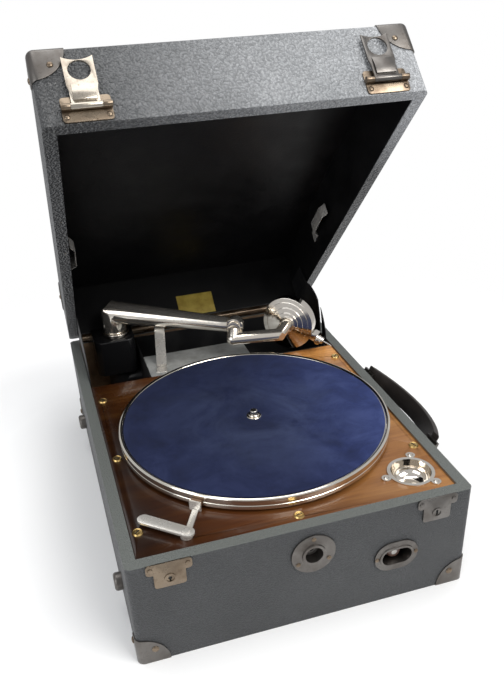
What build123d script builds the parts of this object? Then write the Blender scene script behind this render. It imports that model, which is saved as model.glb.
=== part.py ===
from build123d import *
import os
from math import asin, atan2, cos, degrees, hypot, pi, radians, sin, sqrt, tan

os.makedirs("parts", exist_ok=True)

# A portable wind-up gramophone in a covered case, shown with the lid open. Millimetres, +Z up.
# The origin is the centre of the case's underside, +X is to the right and +Y is to the back.

# Case and lid
case_width = 292.0
case_depth = 402.0
base_height = 102.0
lid_height = 63.0
wall = 10.0
skin = 0.8
floor_thick = 6.0
lid_panel = 4.0
corner_round = 5.0
lid_edge_round = 3.0
rim_gap = 0.3
lid_open = 46.25

# Deck and its supports
deck_drop = 2.0
deck_thick = 8.0
deck_back = 86.0
deck_fit = 0.2
batten_width = 8.0
batten_tall = 10.0
glue_line = 0.02
deck_screw_radius = 1.7
cup_washer_radius = 4.6
cup_washer_tall = 1.2

# Hinge
leaf_thick = 0.8
leaf_width = 9.0
hinge_inset = 11.0
knuckle_radius = 2.4
knuckle_length = 15.0
hinge_pin_radius = 1.2
hinge_fit = 0.05
hinge_clearance = 0.3

# Corner protectors and their screws
protector_reach = 26.0
protector_thick = 1.0
dome_radius = 3.0
dome_tall = 1.6
escutcheon_screw_radius = 2.0

# Turntable
table_x = 3.5
table_y = -46.0
table_radius = 127.0
table_top = 112.0
table_sheet = 1.2
table_skirt = 9.0
rim_band = 4.0
velvet_thick = 1.2
velvet_margin = 0.4
hub_radius = 12.0
pin_radius = 3.62
pin_tall = 6.0
spindle_radius = 4.5
spindle_shoulder = 0.3
running_fit = 0.05
deck_bore_radius = 14.0

# Motor
motor_plate_thick = 3.0
motor_top_z = 82.0
motor_bottom_z = 28.0
motor_left = -44.0
motor_right = 76.0
motor_front = -146.0
motor_back = -2.0
pillar_radius = 4.0
pillar_inset = 9.0
gear_module = 1.0
great_teeth = 88
pinion_teeth = 20
gear_backlash = 0.5
gear_tall = 3.0
barrel_radius = 38.0
barrel_tall = 24.0
barrel_wall = 1.2
arbor_radius = 5.0
wind_z = 74.0
wind_radius = 4.5
bevel_wheel_teeth = 44
bevel_pinion_teeth = 18
bevel_face = 6.0
worm_wheel_teeth = 24
worm_radius = 4.0
governor_z = 47.0
governor_shaft_radius = 2.0
governor_swing = 13.5
weight_radius = 4.5
bush_radius = 7.0
bolt_radius = 2.5

# Front fittings
crank_flange_radius = 19.0
crank_hole_radius = 7.5
crank_sleeve_wall = 1.6
crank_socket_radius = 3.2
crank_socket_depth = 18.0
flange_thick = 1.6
crank_wall_gap = 13.7
stow_z = 49.2
stow_flange_width = 40.0
stow_flange_tall = 30.0
stow_hole_width = 27.0
stow_hole_tall = 15.5
lock_wall_gap = 23.0
lock_width = 25.0
lock_tall = 24.0
lock_thick = 1.2
lock_ear_width = 36.0
lock_ear_tall = 10.0

# Needle bowl
bowl_wall_gap = 27.0
bowl_y = -161.4
bowl_radius = 17.5
bowl_depth = 15.0
bowl_sheet = 1.2
bowl_flange = 20.5
bowl_lug_reach = 24.0
bowl_lug_radius = 4.2

# Brake
brake_wall_gap = 42.8
brake_y = -176.9
brake_pivot_radius = 2.5
brake_lever_length = 45.0
brake_lever_width = 10.5
brake_lever_thick = 2.0
brake_lever_lift = 4.0
brake_lever_angle = 138.0
brake_arm_width = 5.0
shoe_clearance = 0.3
shoe_thick = 3.0

# Speed regulator
speed_x = 62.0
speed_y = 77.0
speed_knob_radius = 6.0
speed_knob_tall = 6.0
speed_shaft_radius = 2.5

# Horn
horn_pivot_gap = 22.5
horn_wall_gap = 5.0
horn_front = 88.0
horn_back = 190.0
horn_sheet = 1.2
horn_step_z = 36.0
horn_floor_left = 15.0
horn_lip_back = 134.0
horn_lip_right = 44.0
horn_lip_turn = 10.0
throat_radius = 14.0
throat_wall = 1.2
throat_z = 57.0

# Tonearm
pivot_wall_gap = 41.5
pivot_y = 171.0
pedestal_left = -121.0
pedestal_right = -75.0
pedestal_front = 151.0
pedestal_bottom = 75.0
pedestal_top = 117.0
pedestal_bore = 11.0
pedestal_round = 9.0
bearing_radius = 15.5
bearing_tall = 4.5
spigot_radius = 10.0
spigot_wall = 1.5
arm_gap = 0.3
arm_radius = 13.0
arm_end_radius = 8.2
arm_wall = 1.2
arm_z = 144.0
hub_x = 30.5
hub_y = 107.0
hub_z = 134.0
arm_hub_radius = 9.6
arm_hub_length = 11.0
facet_share = 0.8

# Arm rest
rest_foot_x = -57.0
rest_foot_y = 99.0
rest_along = 0.40
rest_width = 11.0
rest_sheet = 1.5
rest_foot_length = 16.0

# Sound box
box_x = 91.5
box_y = 100.0
box_z = 130.3
box_radius = 29.5
box_deep = 12.0
box_wall = 1.6
box_heading = -133.0
box_lean = 3.0
neck_radius = 6.8
neck_wall = 1.2
chuck_drop = 21.5
chuck_reach = 44.0
chuck_radius = 3.6
needle_radius = 0.8
needle_length = 22.0

# Lid fittings
cheek_gap = 0.6
cheek_thick = 0.8
cheek_reach_lid = 64.0
cheek_reach_base = 109.0
cheek_sweep = 54.0
stay_radius = 92.0
stay_pin_radius = 2.5
stay_slot_fit = 0.3
clip_centre_y = 50.0
clip_length = 62.0
clip_width = 12.0
clip_height = 28.0
clip_stand = 7.5
clip_sheet = 1.0
hasp_width = 22.0
hasp_length = 40.0
hasp_pivot_height = 11.5
hasp_hole_radius = 8.0
hasp_hole_reach = 28.5
hasp_thick = 1.5
hasp_barrel_radius = 2.4
hasp_pin_radius = 1.2
hasp_plate_width = 35.0
hasp_plate_tall = 20.0
hasp_plate_thick = 1.2

# Handle
handle_z = 90.0
handle_y = -40.0
handle_span = 140.0
handle_bulge = 22.0
handle_rest_drop = 25.0
handle_width = 18.0
handle_thick = 5.0
bracket_plate = 1.5
bracket_tall = 24.0
bracket_wide = 20.0
eye_radius = 3.4
eye_pin_radius = 1.7
eye_length = 12.0
loop_leg = 3.0

# Stowed crank
crank_rod_radius = 4.0
crank_offset = 44.0
grip_radius = 6.5
grip_length = 62.0
grip_inset = 3.0
crank_rod_end = -14.0

# Side feet
foot_radius = 8.0
foot_tall = 7.0
foot_y = 134.0
foot_z = 31.0

# Sizes worked out from the ones above
inner_width = case_width - 2 * wall
inner_depth = case_depth - 2 * wall
front_face = -case_depth / 2
inner_front = -inner_depth / 2
inner_back = inner_depth / 2
inner_side = inner_width / 2
stow_x = inner_side - crank_wall_gap - crank_offset
lock_x = inner_side - lock_wall_gap
bowl_x = inner_side - bowl_wall_gap
brake_x = brake_wall_gap - inner_side
pivot_x = pivot_wall_gap - inner_side
horn_left = pivot_x + horn_pivot_gap
horn_right = inner_side - horn_wall_gap
hub_bore_radius = spindle_radius - spindle_shoulder
deck_top = base_height - deck_drop
deck_under = deck_top - deck_thick
lid_rim = base_height + rim_gap
lid_top = lid_rim + lid_height
hinge_y = case_depth / 2 + knuckle_radius + hinge_clearance
hinge_z = base_height + rim_gap / 2
hinge_axis = Axis((0, hinge_y, hinge_z), (1, 0, 0))
front_plane = Plane.XZ.offset(case_depth / 2)


def opened(piece):
    """A piece drawn with the lid shut, turned about the hinge pin to the open lid."""
    return piece.rotate(hinge_axis, -lid_open)


def save(piece, name):
    """Label a finished piece and write its file."""
    piece.label = name
    export_step(piece, f"parts/{name}.step")


def case_block(inset, bottom, top, top_round=0.0):
    """The case's outline drawn in by inset, from bottom to top, with its top edge rounded."""
    with BuildPart() as block:
        with BuildSketch(Plane.XY.offset(bottom)):
            RectangleRounded(case_width - 2 * inset, case_depth - 2 * inset, corner_round - inset)
        extrude(amount=top - bottom)
        if top_round > 0:
            fillet(block.faces().sort_by(Axis.Z)[-1].edges(), radius=top_round)
    return block.part


# Deck screw places, chosen by hand round the turntable
deck_screw_spots = [(7.0 - inner_side, -159), (7.0 - inner_side, -53), (8.5 - inner_side, 54),
                    (-1.5, inner_front + 8.5), (inner_side - 6.0, -126), (inner_side - 6.0, 58)]

# Motor layout: the barrel stands in front of the spindle and drives its pinion
pinion_pitch = gear_module * pinion_teeth / 2
great_pitch = gear_module * great_teeth / 2
barrel_x = table_x
barrel_y = table_y - pinion_pitch - great_pitch
barrel_z = motor_bottom_z + motor_plate_thick + 3.0
great_z = barrel_z + barrel_tall
bevel_wheel_pitch = gear_module * bevel_wheel_teeth / 2
bevel_pinion_pitch = gear_module * bevel_pinion_teeth / 2
motor_bolt_spots = [(-34.0, -60.0), (64.0, -60.0), (26.0, motor_front + pillar_inset)]
worm_wheel_tip = gear_module * (worm_wheel_teeth / 2 + 0.95)
governor_y = table_y + worm_wheel_tip + worm_radius + arm_gap
governor_left = table_x - 24.0
governor_right = motor_right - 6.0

# Base walls: four boards with glue lines between them, and three battens that carry the deck
with BuildPart() as base_carcass:
    with BuildSketch():
        RectangleRounded(case_width - 2 * skin, case_depth - 2 * skin, corner_round - skin)
        Rectangle(inner_width, inner_depth, mode=Mode.SUBTRACT)
        with Locations((0, (inner_depth - glue_line) / 2), (0, (glue_line - inner_depth) / 2)):
            Rectangle(case_width, glue_line, mode=Mode.SUBTRACT)
    extrude(amount=base_height - skin)
    with BuildSketch(Plane.XY.offset(deck_under - batten_tall)):
        side_x = inner_side - glue_line - batten_width / 2
        side_y = (inner_front + glue_line + deck_back) / 2
        with Locations((-side_x, side_y), (side_x, side_y)):
            Rectangle(batten_width, deck_back - inner_front - glue_line)
        with Locations((0, inner_front + glue_line + batten_width / 2)):
            Rectangle(inner_width - 2 * batten_width - 4 * glue_line, batten_width)
    extrude(amount=batten_tall)
    with BuildSketch(Plane.XY.offset(deck_under)):
        with Locations(*deck_screw_spots):
            Circle(deck_screw_radius)
    extrude(amount=-batten_tall, mode=Mode.SUBTRACT)
    with BuildSketch(front_plane):
        with Locations((table_x, wind_z)):
            Circle(crank_hole_radius + crank_sleeve_wall)
        with Locations((stow_x, stow_z)):
            SlotOverall(stow_hole_width + 2 * crank_sleeve_wall, stow_hole_tall + 2 * crank_sleeve_wall)
    extrude(amount=-wall, mode=Mode.SUBTRACT)
    with Locations(*[(sx * case_width / 2, sy * case_depth / 2, 0) for sx in (-1, 1) for sy in (-1, 1)]):
        Cylinder(protector_reach, 2 * protector_thick, mode=Mode.SUBTRACT)
save(base_carcass.part, "base_carcass")

# Base covering: cloth round the walls and over the rim
with BuildPart() as base_covering:
    with BuildSketch():
        RectangleRounded(case_width, case_depth, corner_round)
        RectangleRounded(case_width - 2 * skin, case_depth - 2 * skin, corner_round - skin,
                         mode=Mode.SUBTRACT)
    extrude(amount=base_height - skin)
    with BuildSketch(Plane.XY.offset(base_height - skin)):
        RectangleRounded(case_width, case_depth, corner_round)
        Rectangle(inner_width, inner_depth, mode=Mode.SUBTRACT)
    extrude(amount=skin)
    with BuildSketch(Plane.XY.offset(base_height)):
        with Locations((0, case_depth / 2 - leaf_width / 2)):
            Rectangle(case_width - 2 * hinge_inset, leaf_width)
    extrude(amount=-leaf_thick, mode=Mode.SUBTRACT)
    with BuildSketch(front_plane):
        with Locations((table_x, wind_z)):
            Circle(crank_hole_radius + crank_sleeve_wall)
        with Locations((stow_x, stow_z)):
            SlotOverall(stow_hole_width + 2 * crank_sleeve_wall, stow_hole_tall + 2 * crank_sleeve_wall)
    extrude(amount=-wall, mode=Mode.SUBTRACT)
    with Locations(*[(sx * case_width / 2, sy * case_depth / 2, 0) for sx in (-1, 1) for sy in (-1, 1)]):
        Cylinder(protector_reach, 2 * protector_thick, mode=Mode.SUBTRACT)
save(base_covering.part, "base_covering")

# Bottom board
with BuildPart() as base_floor:
    with BuildSketch():
        Rectangle(inner_width, inner_depth)
    extrude(amount=floor_thick)
    with Locations(*[(sx * case_width / 2, sy * case_depth / 2, 0) for sx in (-1, 1) for sy in (-1, 1)]):
        Cylinder(protector_reach, 2 * protector_thick, mode=Mode.SUBTRACT)
save(base_floor.part, "base_floor")

# Polished deck board
with BuildPart() as deck_board:
    with BuildSketch(Plane.XY.offset(deck_under)):
        with Locations((0, (inner_front + deck_back) / 2)):
            Rectangle(inner_width - 2 * deck_fit, deck_back - inner_front - 2 * deck_fit)
        with Locations((table_x, table_y)):
            Circle(deck_bore_radius, mode=Mode.SUBTRACT)
        with Locations((bowl_x, bowl_y)):
            Circle(bowl_radius + bowl_sheet, mode=Mode.SUBTRACT)
        with Locations((brake_x, brake_y)):
            Circle(brake_pivot_radius + running_fit, mode=Mode.SUBTRACT)
        with Locations((speed_x, speed_y)):
            Circle(speed_shaft_radius + running_fit, mode=Mode.SUBTRACT)
        with Locations(*deck_screw_spots):
            Circle(deck_screw_radius, mode=Mode.SUBTRACT)
        with Locations(*motor_bolt_spots):
            Circle(bolt_radius, mode=Mode.SUBTRACT)
    extrude(amount=deck_thick)
save(deck_board.part, "deck_board")

# Brass screws in cup washers that hold the deck to its battens
with BuildPart() as deck_screws:
    with BuildSketch(Plane.XZ) as deck_screw_profile:
        with BuildLine():
            Polyline(
                (0, deck_under - 8.0),
                (deck_screw_radius, deck_under - 6.0),
                (deck_screw_radius, deck_top),
                (cup_washer_radius, deck_top),
                (cup_washer_radius - 0.8, deck_top + cup_washer_tall),
                (cup_washer_radius - 1.8, deck_top + cup_washer_tall - 0.4),
                (0, deck_top + cup_washer_tall - 0.2),
                close=True,
            )
        make_face()
    screw_body = revolve(axis=Axis.Z)
    with Locations(*deck_screw_spots):
        add(screw_body)
    with BuildSketch(Plane.XY.offset(deck_under - 8.0)):
        Circle(cup_washer_radius + 1)
    extrude(amount=deck_thick + 12.0, mode=Mode.SUBTRACT)
save(deck_screws.part, "deck_screws")


def corner_caps(bottom, top, cap_z, reach):
    """Four pressed corner caps on the outside of the case between bottom and top, each a ball's slice."""
    with BuildPart() as cap:
        with BuildSketch(Plane.XY.offset(bottom)):
            RectangleRounded(case_width + 2 * protector_thick, case_depth + 2 * protector_thick,
                             corner_round + protector_thick)
            RectangleRounded(case_width, case_depth, corner_round, mode=Mode.SUBTRACT)
        extrude(amount=top - bottom)
        with BuildSketch(Plane.XY.offset(cap_z)):
            RectangleRounded(case_width + 2 * protector_thick, case_depth + 2 * protector_thick,
                             corner_round + protector_thick)
        extrude(amount=protector_thick)
        with Locations((case_width / 2, -case_depth / 2, cap_z + (protector_thick if cap_z > 50 else 0))):
            Sphere(reach, mode=Mode.INTERSECT)
        mirror(about=Plane.YZ)
        mirror(about=Plane.XZ)
    return cap.part


# Steel corner caps on the base, their bottom leaves let in flush
base_corner_caps = corner_caps(0.0, protector_reach, 0.0, protector_reach)
save(base_corner_caps, "base_corner_protectors")


def dome_heads(places, radius, tall):
    """Domed screw heads standing on (point, outward direction) places."""
    with BuildPart() as head:
        with BuildSketch(Plane.XZ):
            with BuildLine():
                Polyline((0, 0), (radius, 0), (radius, 0.3 * tall), (0.85 * radius, 0.62 * tall),
                         (0.5 * radius, 0.9 * tall), (0, tall), close=True)
            make_face()
        revolve(axis=Axis.Z)
    return [head.part.moved(Plane(origin=point, z_dir=outward).location) for point, outward in places]


# Domed screws of the base's corner caps and of the front escutcheons
cap_hole = protector_reach * 0.55
base_dome_places = []
for sx in (-1, 1):
    for sy in (-1, 1):
        side = (sx * (case_width / 2 + protector_thick), sy * (case_depth / 2 - cap_hole), cap_hole)
        face = (sx * (case_width / 2 - cap_hole), sy * (case_depth / 2 + protector_thick), cap_hole)
        base_dome_places.append((side, (sx, 0, 0)))
        base_dome_places.append((face, (0, sy, 0)))
escutcheon_places = []
for turn in (90, 210, 330):
    spot = (table_x + (crank_flange_radius - 3.6) * cos(radians(turn)), front_face - flange_thick,
            wind_z + (crank_flange_radius - 3.6) * sin(radians(turn)))
    escutcheon_places.append((spot, (0, -1, 0)))
for sx in (-1, 1):
    spot = (stow_x + sx * (stow_flange_width / 2 - escutcheon_screw_radius - 0.1),
            front_face - flange_thick,
            stow_z)
    escutcheon_places.append((spot, (0, -1, 0)))
with BuildPart() as case_screws:
    for piece in dome_heads(base_dome_places, dome_radius, dome_tall):
        add(piece)
    for piece in dome_heads(escutcheon_places, escutcheon_screw_radius, dome_tall - 0.6):
        add(piece)
save(case_screws.part, "case_screws")


def lock_plate(centre_x, slotted):
    """A lock plate on the front wall, flush with the rim, with ears, a key ring and a keyhole."""
    with BuildPart() as plate:
        with BuildSketch(front_plane):
            with Locations((centre_x, base_height - lock_tall / 2)):
                RectangleRounded(lock_width, lock_tall, 2.5)
            with Locations((centre_x, base_height - lock_ear_tall / 2)):
                RectangleRounded(lock_ear_width, lock_ear_tall, 3.0)
        extrude(amount=lock_thick)
        ring_z = base_height - lock_tall * 0.66
        with BuildSketch(front_plane.offset(lock_thick)):
            with Locations((centre_x, ring_z)):
                Circle(4.6)
                Circle(3.2, mode=Mode.SUBTRACT)
        extrude(amount=0.8)
        with BuildSketch(front_plane.offset(lock_thick)):
            with Locations((centre_x, ring_z)):
                if slotted:
                    SlotOverall(5.6, 1.8, rotation=90)
                else:
                    Circle(1.5)
            if not slotted:
                with Locations((centre_x, ring_z - 1.6)):
                    Rectangle(1.4, 2.6)
        extrude(amount=-lock_thick, mode=Mode.SUBTRACT)
        with BuildSketch(front_plane.offset(lock_thick)):
            with Locations((centre_x - lock_ear_width / 2 + 3.4, base_height - lock_ear_tall / 2),
                           (centre_x + lock_ear_width / 2 - 3.4, base_height - lock_ear_tall / 2)):
                Circle(2.2)
        extrude(amount=0.9)
    return plate.part


save(lock_plate(-lock_x, False), "lock_plate_left")
save(lock_plate(lock_x, True), "lock_plate_right")

# Crank escutcheon: a flange with a sleeve through the wall and a bearing web at its inner end
sleeve_web = 3.0
with BuildPart() as crank_escutcheon:
    with BuildSketch(front_plane):
        with Locations((table_x, wind_z)):
            Circle(crank_flange_radius)
    extrude(amount=flange_thick)
    with BuildSketch(front_plane.offset(flange_thick)):
        with Locations((table_x, wind_z)):
            Circle(crank_hole_radius + 2.6)
    extrude(amount=1.6)
    with BuildSketch(front_plane):
        with Locations((table_x, wind_z)):
            Circle(crank_hole_radius + crank_sleeve_wall)
    extrude(amount=-wall)
    with BuildSketch(front_plane.offset(flange_thick + 1.6)):
        with Locations((table_x, wind_z)):
            Circle(crank_hole_radius)
    extrude(amount=-(wall + flange_thick + 1.6 - sleeve_web), mode=Mode.SUBTRACT)
    with BuildSketch(front_plane.offset(-wall)):
        with Locations((table_x, wind_z)):
            Circle(wind_radius + running_fit)
    extrude(amount=sleeve_web, mode=Mode.SUBTRACT)
save(crank_escutcheon.part, "crank_escutcheon")

# Oval escutcheon of the hole where the crank is put away
with BuildPart() as crank_stow_escutcheon:
    with BuildSketch(front_plane):
        with Locations((stow_x, stow_z)):
            SlotOverall(stow_flange_width, stow_flange_tall)
    extrude(amount=flange_thick)
    with BuildSketch(front_plane.offset(flange_thick)):
        with Locations((stow_x, stow_z)):
            SlotOverall(stow_hole_width + 4.4, stow_hole_tall + 4.4)
    extrude(amount=1.2)
    with BuildSketch(front_plane):
        with Locations((stow_x, stow_z)):
            SlotOverall(stow_hole_width + 2 * crank_sleeve_wall, stow_hole_tall + 2 * crank_sleeve_wall)
    extrude(amount=-wall)
    with BuildSketch(front_plane.offset(flange_thick + 1.2)):
        with Locations((stow_x, stow_z)):
            SlotOverall(stow_hole_width, stow_hole_tall)
    extrude(amount=-(wall + flange_thick + 1.2), mode=Mode.SUBTRACT)
save(crank_stow_escutcheon.part, "crank_stow_escutcheon")

# Needle bowl: a turned cup let into the deck, with three screwed lugs
with BuildPart() as needle_bowl:
    with BuildSketch(Plane(origin=(bowl_x, bowl_y, deck_top), x_dir=(1, 0, 0), z_dir=(0, -1, 0))):
        with BuildLine():
            out_r = bowl_radius + bowl_sheet
            out_z = -bowl_depth - bowl_sheet
            Line((0, out_z), (0.45 * out_r, out_z))
            ThreePointArc((0.45 * out_r, out_z), (0.85 * out_r, 0.78 * out_z), (out_r, 0.35 * out_z))
            Polyline((out_r, 0.35 * out_z), (out_r, 0), (bowl_flange, 0), (bowl_flange, bowl_sheet),
                     (bowl_radius, bowl_sheet), (bowl_radius, -0.35 * bowl_depth))
            ThreePointArc((bowl_radius, -0.35 * bowl_depth), (0.85 * bowl_radius, -0.78 * bowl_depth),
                          (0.45 * bowl_radius, -bowl_depth))
            Polyline((0.45 * bowl_radius, -bowl_depth), (0, -bowl_depth), (0, out_z))
        make_face()
    revolve(axis=Axis((bowl_x, bowl_y, 0), (0, 0, 1)))
    with BuildSketch(Plane.XY.offset(deck_top)):
        with Locations((bowl_x, bowl_y)):
            with PolarLocations(bowl_lug_reach, 3, start_angle=64):
                Circle(bowl_lug_radius)
        with Locations((bowl_x, bowl_y)):
            Circle(bowl_radius + 0.5, mode=Mode.SUBTRACT)
    extrude(amount=bowl_sheet)
    with BuildSketch(Plane.XY.offset(deck_top + bowl_sheet)):
        with Locations((bowl_x, bowl_y)):
            with PolarLocations(bowl_lug_reach, 3, start_angle=64):
                Circle(2.4)
    extrude(amount=1.2, taper=30)
save(needle_bowl.part, "needle_bowl")

# Horn: a folded sheet-metal body that opens upwards behind the deck
with BuildPart() as horn_body:
    with BuildSketch(Plane.XZ.offset(-horn_back)):
        with BuildLine():
            Polyline((horn_floor_left, floor_thick), (horn_right, floor_thick),
                     (horn_right, deck_top - horn_sheet), (horn_left, deck_top - horn_sheet),
                     (horn_left, horn_step_z))
            ThreePointArc((horn_left, horn_step_z),
                          ((horn_left + horn_floor_left) / 2 - 4, floor_thick + 9.0),
                          (horn_floor_left, floor_thick))
        make_face()
    extrude(amount=horn_back - horn_front)
    offset(amount=-horn_sheet, openings=horn_body.faces().sort_by(Axis.Z)[-1], kind=Kind.INTERSECTION)
    with BuildSketch(Plane.YZ.offset(horn_left)):
        with Locations((pivot_y, throat_z)):
            Circle(throat_radius - throat_wall)
    extrude(amount=horn_sheet, mode=Mode.SUBTRACT)
save(horn_body.part, "horn_body")

# Bright sheet that closes the front of the horn's mouth, its back edge turned down
with BuildPart() as horn_top:
    with BuildSketch(Plane.YZ.offset(horn_left)):
        with BuildLine():
            Polyline((deck_back, deck_top), (horn_lip_back, deck_top),
                     (horn_lip_back, deck_top - horn_lip_turn),
                     (horn_lip_back - horn_sheet, deck_top - horn_lip_turn),
                     (horn_lip_back - horn_sheet, deck_top - horn_sheet),
                     (deck_back, deck_top - horn_sheet), close=True)
        make_face()
    extrude(amount=horn_lip_right - horn_left)
    with BuildSketch(Plane.XY.offset(deck_top)):
        with Locations(((2 * horn_left + horn_sheet) / 2, (horn_lip_back + deck_back) / 2)):
            Rectangle(horn_sheet, horn_lip_back - deck_back)
    extrude(amount=-horn_lip_turn - 1, mode=Mode.SUBTRACT)
save(horn_top.part, "horn_top")

# Throat: a pipe from under the tonearm that turns into the horn's side
throat_start = horn_left
with BuildPart() as horn_throat:
    with BuildSketch(Plane.XY.offset(throat_z)):
        with Locations((pivot_x, pivot_y)):
            Circle(throat_radius)
    extrude(amount=pedestal_bottom - throat_z)
    with Locations((pivot_x, pivot_y, throat_z)):
        Sphere(throat_radius)
    with BuildSketch(Plane.YZ.offset(pivot_x)):
        with Locations((pivot_y, throat_z)):
            Circle(throat_radius)
    extrude(amount=throat_start - pivot_x)
    with BuildSketch(Plane.XY.offset(throat_z)):
        with Locations((pivot_x, pivot_y)):
            Circle(throat_radius - throat_wall)
    extrude(amount=pedestal_bottom - throat_z, mode=Mode.SUBTRACT)
    with Locations((pivot_x, pivot_y, throat_z)):
        Sphere(throat_radius - throat_wall, mode=Mode.SUBTRACT)
    with BuildSketch(Plane.YZ.offset(pivot_x)):
        with Locations((pivot_y, throat_z)):
            Circle(throat_radius - throat_wall)
    extrude(amount=throat_start - pivot_x, mode=Mode.SUBTRACT)
save(horn_throat.part, "horn_throat")

# Black pedestal under the tonearm, bolted to the back wall
with BuildPart() as tonearm_pedestal:
    with BuildSketch(Plane.XY.offset(pedestal_bottom)):
        with Locations(((pedestal_left + pedestal_right) / 2, (pedestal_front + inner_back) / 2)):
            Rectangle(pedestal_right - pedestal_left, inner_back - pedestal_front)
    extrude(amount=pedestal_top - pedestal_bottom)
    fillet(tonearm_pedestal.edges().filter_by(Axis.Z).group_by(Axis.Y)[0], radius=pedestal_round)
    fillet(tonearm_pedestal.faces().sort_by(Axis.Z)[-1].edges().sort_by(Axis.Y)[:3], radius=1.5)
    with BuildSketch(Plane.XY.offset(pedestal_bottom)):
        with Locations((pivot_x, pivot_y)):
            Circle(pedestal_bore)
    extrude(amount=pedestal_top - pedestal_bottom, mode=Mode.SUBTRACT)
save(tonearm_pedestal.part, "tonearm_pedestal")

# Bearing flange that the tonearm turns in
bearing_top = pedestal_top + bearing_tall
bearing_bottom = pedestal_top - 20.0
with BuildPart() as tonearm_bearing:
    with BuildSketch(Plane.XY.offset(pedestal_top)):
        with Locations((pivot_x, pivot_y)):
            Circle(bearing_radius)
    extrude(amount=bearing_tall)
    fillet(tonearm_bearing.edges().group_by(Axis.Z)[-1], radius=1.2)
    with BuildSketch(Plane.XY.offset(bearing_bottom)):
        with Locations((pivot_x, pivot_y)):
            Circle(pedestal_bore)
    extrude(amount=pedestal_top - bearing_bottom)
    with BuildSketch(Plane.XY.offset(bearing_bottom)):
        with Locations((pivot_x, pivot_y)):
            Circle(spigot_radius + running_fit)
    extrude(amount=bearing_top - bearing_bottom, mode=Mode.SUBTRACT)
save(tonearm_bearing.part, "tonearm_bearing")


def pipe_run(start, end, start_radius, end_radius, joints):
    """A round pipe from start to end, lengthened past both and cut by the planes in joints."""
    a = Vector(*start)
    b = Vector(*end)
    along = (b - a).normalized()
    extra_a = 2.2 * start_radius if joints[0] is not None else 0.0
    extra_b = 2.2 * end_radius if joints[1] is not None else 0.0
    slope = (end_radius - start_radius) / (b - a).length
    with BuildPart() as run:
        with BuildSketch(Plane(origin=a - along * extra_a, z_dir=along)):
            Circle(start_radius - slope * extra_a)
        with BuildSketch(Plane(origin=b + along * extra_b, z_dir=along)):
            Circle(end_radius + slope * extra_b)
        loft()
        for plane in joints:
            if plane is not None:
                middle = (a + b) * 0.5
                ahead = (middle - plane.origin).dot(plane.z_dir) > 0
                split(bisect_by=plane, keep=Keep.TOP if ahead else Keep.BOTTOM)
    return run.part


def mitred_pipe(points, radii, facet=0.0):
    """Pipe runs joined by mitres through the points, each outer corner cut to a flat facet."""
    corners = [Vector(*p) for p in points]
    planes = [None]
    facets = []
    for before, here, after in zip(corners, corners[1:], corners[2:]):
        back = (before - here).normalized()
        on = (after - here).normalized()
        planes.append(Plane(origin=here, z_dir=(on - back).normalized()))
        outward = (back + on) * -1
        facets.append((here, outward.normalized()))
    planes.append(None)
    runs = []
    for i in range(len(points) - 1):
        runs.append(pipe_run(points[i], points[i + 1], radii[i], radii[i + 1], planes[i:i + 2]))
    with BuildPart() as pipe:
        for run in runs:
            add(run)
        if facet > 0:
            for (here, outward), radius in zip(facets, radii[1:]):
                split(bisect_by=Plane(origin=here + outward * radius * facet, z_dir=outward),
                      keep=Keep.BOTTOM)
    return pipe.part


# Tonearm: a turned post and a tapered tube joined by a mitre, bored through
hub = Vector(hub_x, hub_y, hub_z)
pivot_corner = Vector(pivot_x, pivot_y, arm_z)
arm_along = (hub - pivot_corner).normalized()
arm_side = Vector(arm_along.Y, -arm_along.X, 0).normalized()
arm_end = hub - arm_along * (arm_hub_radius - 1.5)
post_bottom = bearing_top + arm_gap
arm_points = [(pivot_x, pivot_y, post_bottom), tuple(pivot_corner), tuple(arm_end)]
arm_outer = mitred_pipe(arm_points, [arm_radius, arm_radius, arm_end_radius], facet_share)
bore_end = hub - arm_along * (arm_hub_radius + 3)
bore_radius = spigot_radius - spigot_wall
with BuildPart() as tonearm_tube:
    add(arm_outer)
    with BuildSketch(Plane.XY.offset(bearing_bottom)):
        with Locations((pivot_x, pivot_y)):
            Circle(spigot_radius)
    extrude(amount=post_bottom - bearing_bottom)
    with BuildSketch(Plane(origin=hub - arm_side * (arm_hub_length / 2), z_dir=arm_side)):
        Circle(arm_hub_radius)
    extrude(amount=arm_hub_length)
    with BuildSketch(Plane.XY.offset(bearing_bottom)):
        with Locations((pivot_x, pivot_y)):
            Circle(bore_radius)
    extrude(amount=arm_z - bearing_bottom, mode=Mode.SUBTRACT)
    with BuildSketch(Plane(origin=pivot_corner, z_dir=arm_along)):
        Circle(bore_radius - 0.4)
    with BuildSketch(Plane(origin=bore_end, z_dir=arm_along)):
        Circle(arm_end_radius - arm_wall)
    loft(mode=Mode.SUBTRACT)
    with BuildSketch(Plane(origin=hub - arm_side * arm_hub_length, z_dir=arm_side)):
        Circle(3.0 + running_fit)
    extrude(amount=2 * arm_hub_length, mode=Mode.SUBTRACT)
save(tonearm_tube.part, "tonearm_tube")

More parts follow.
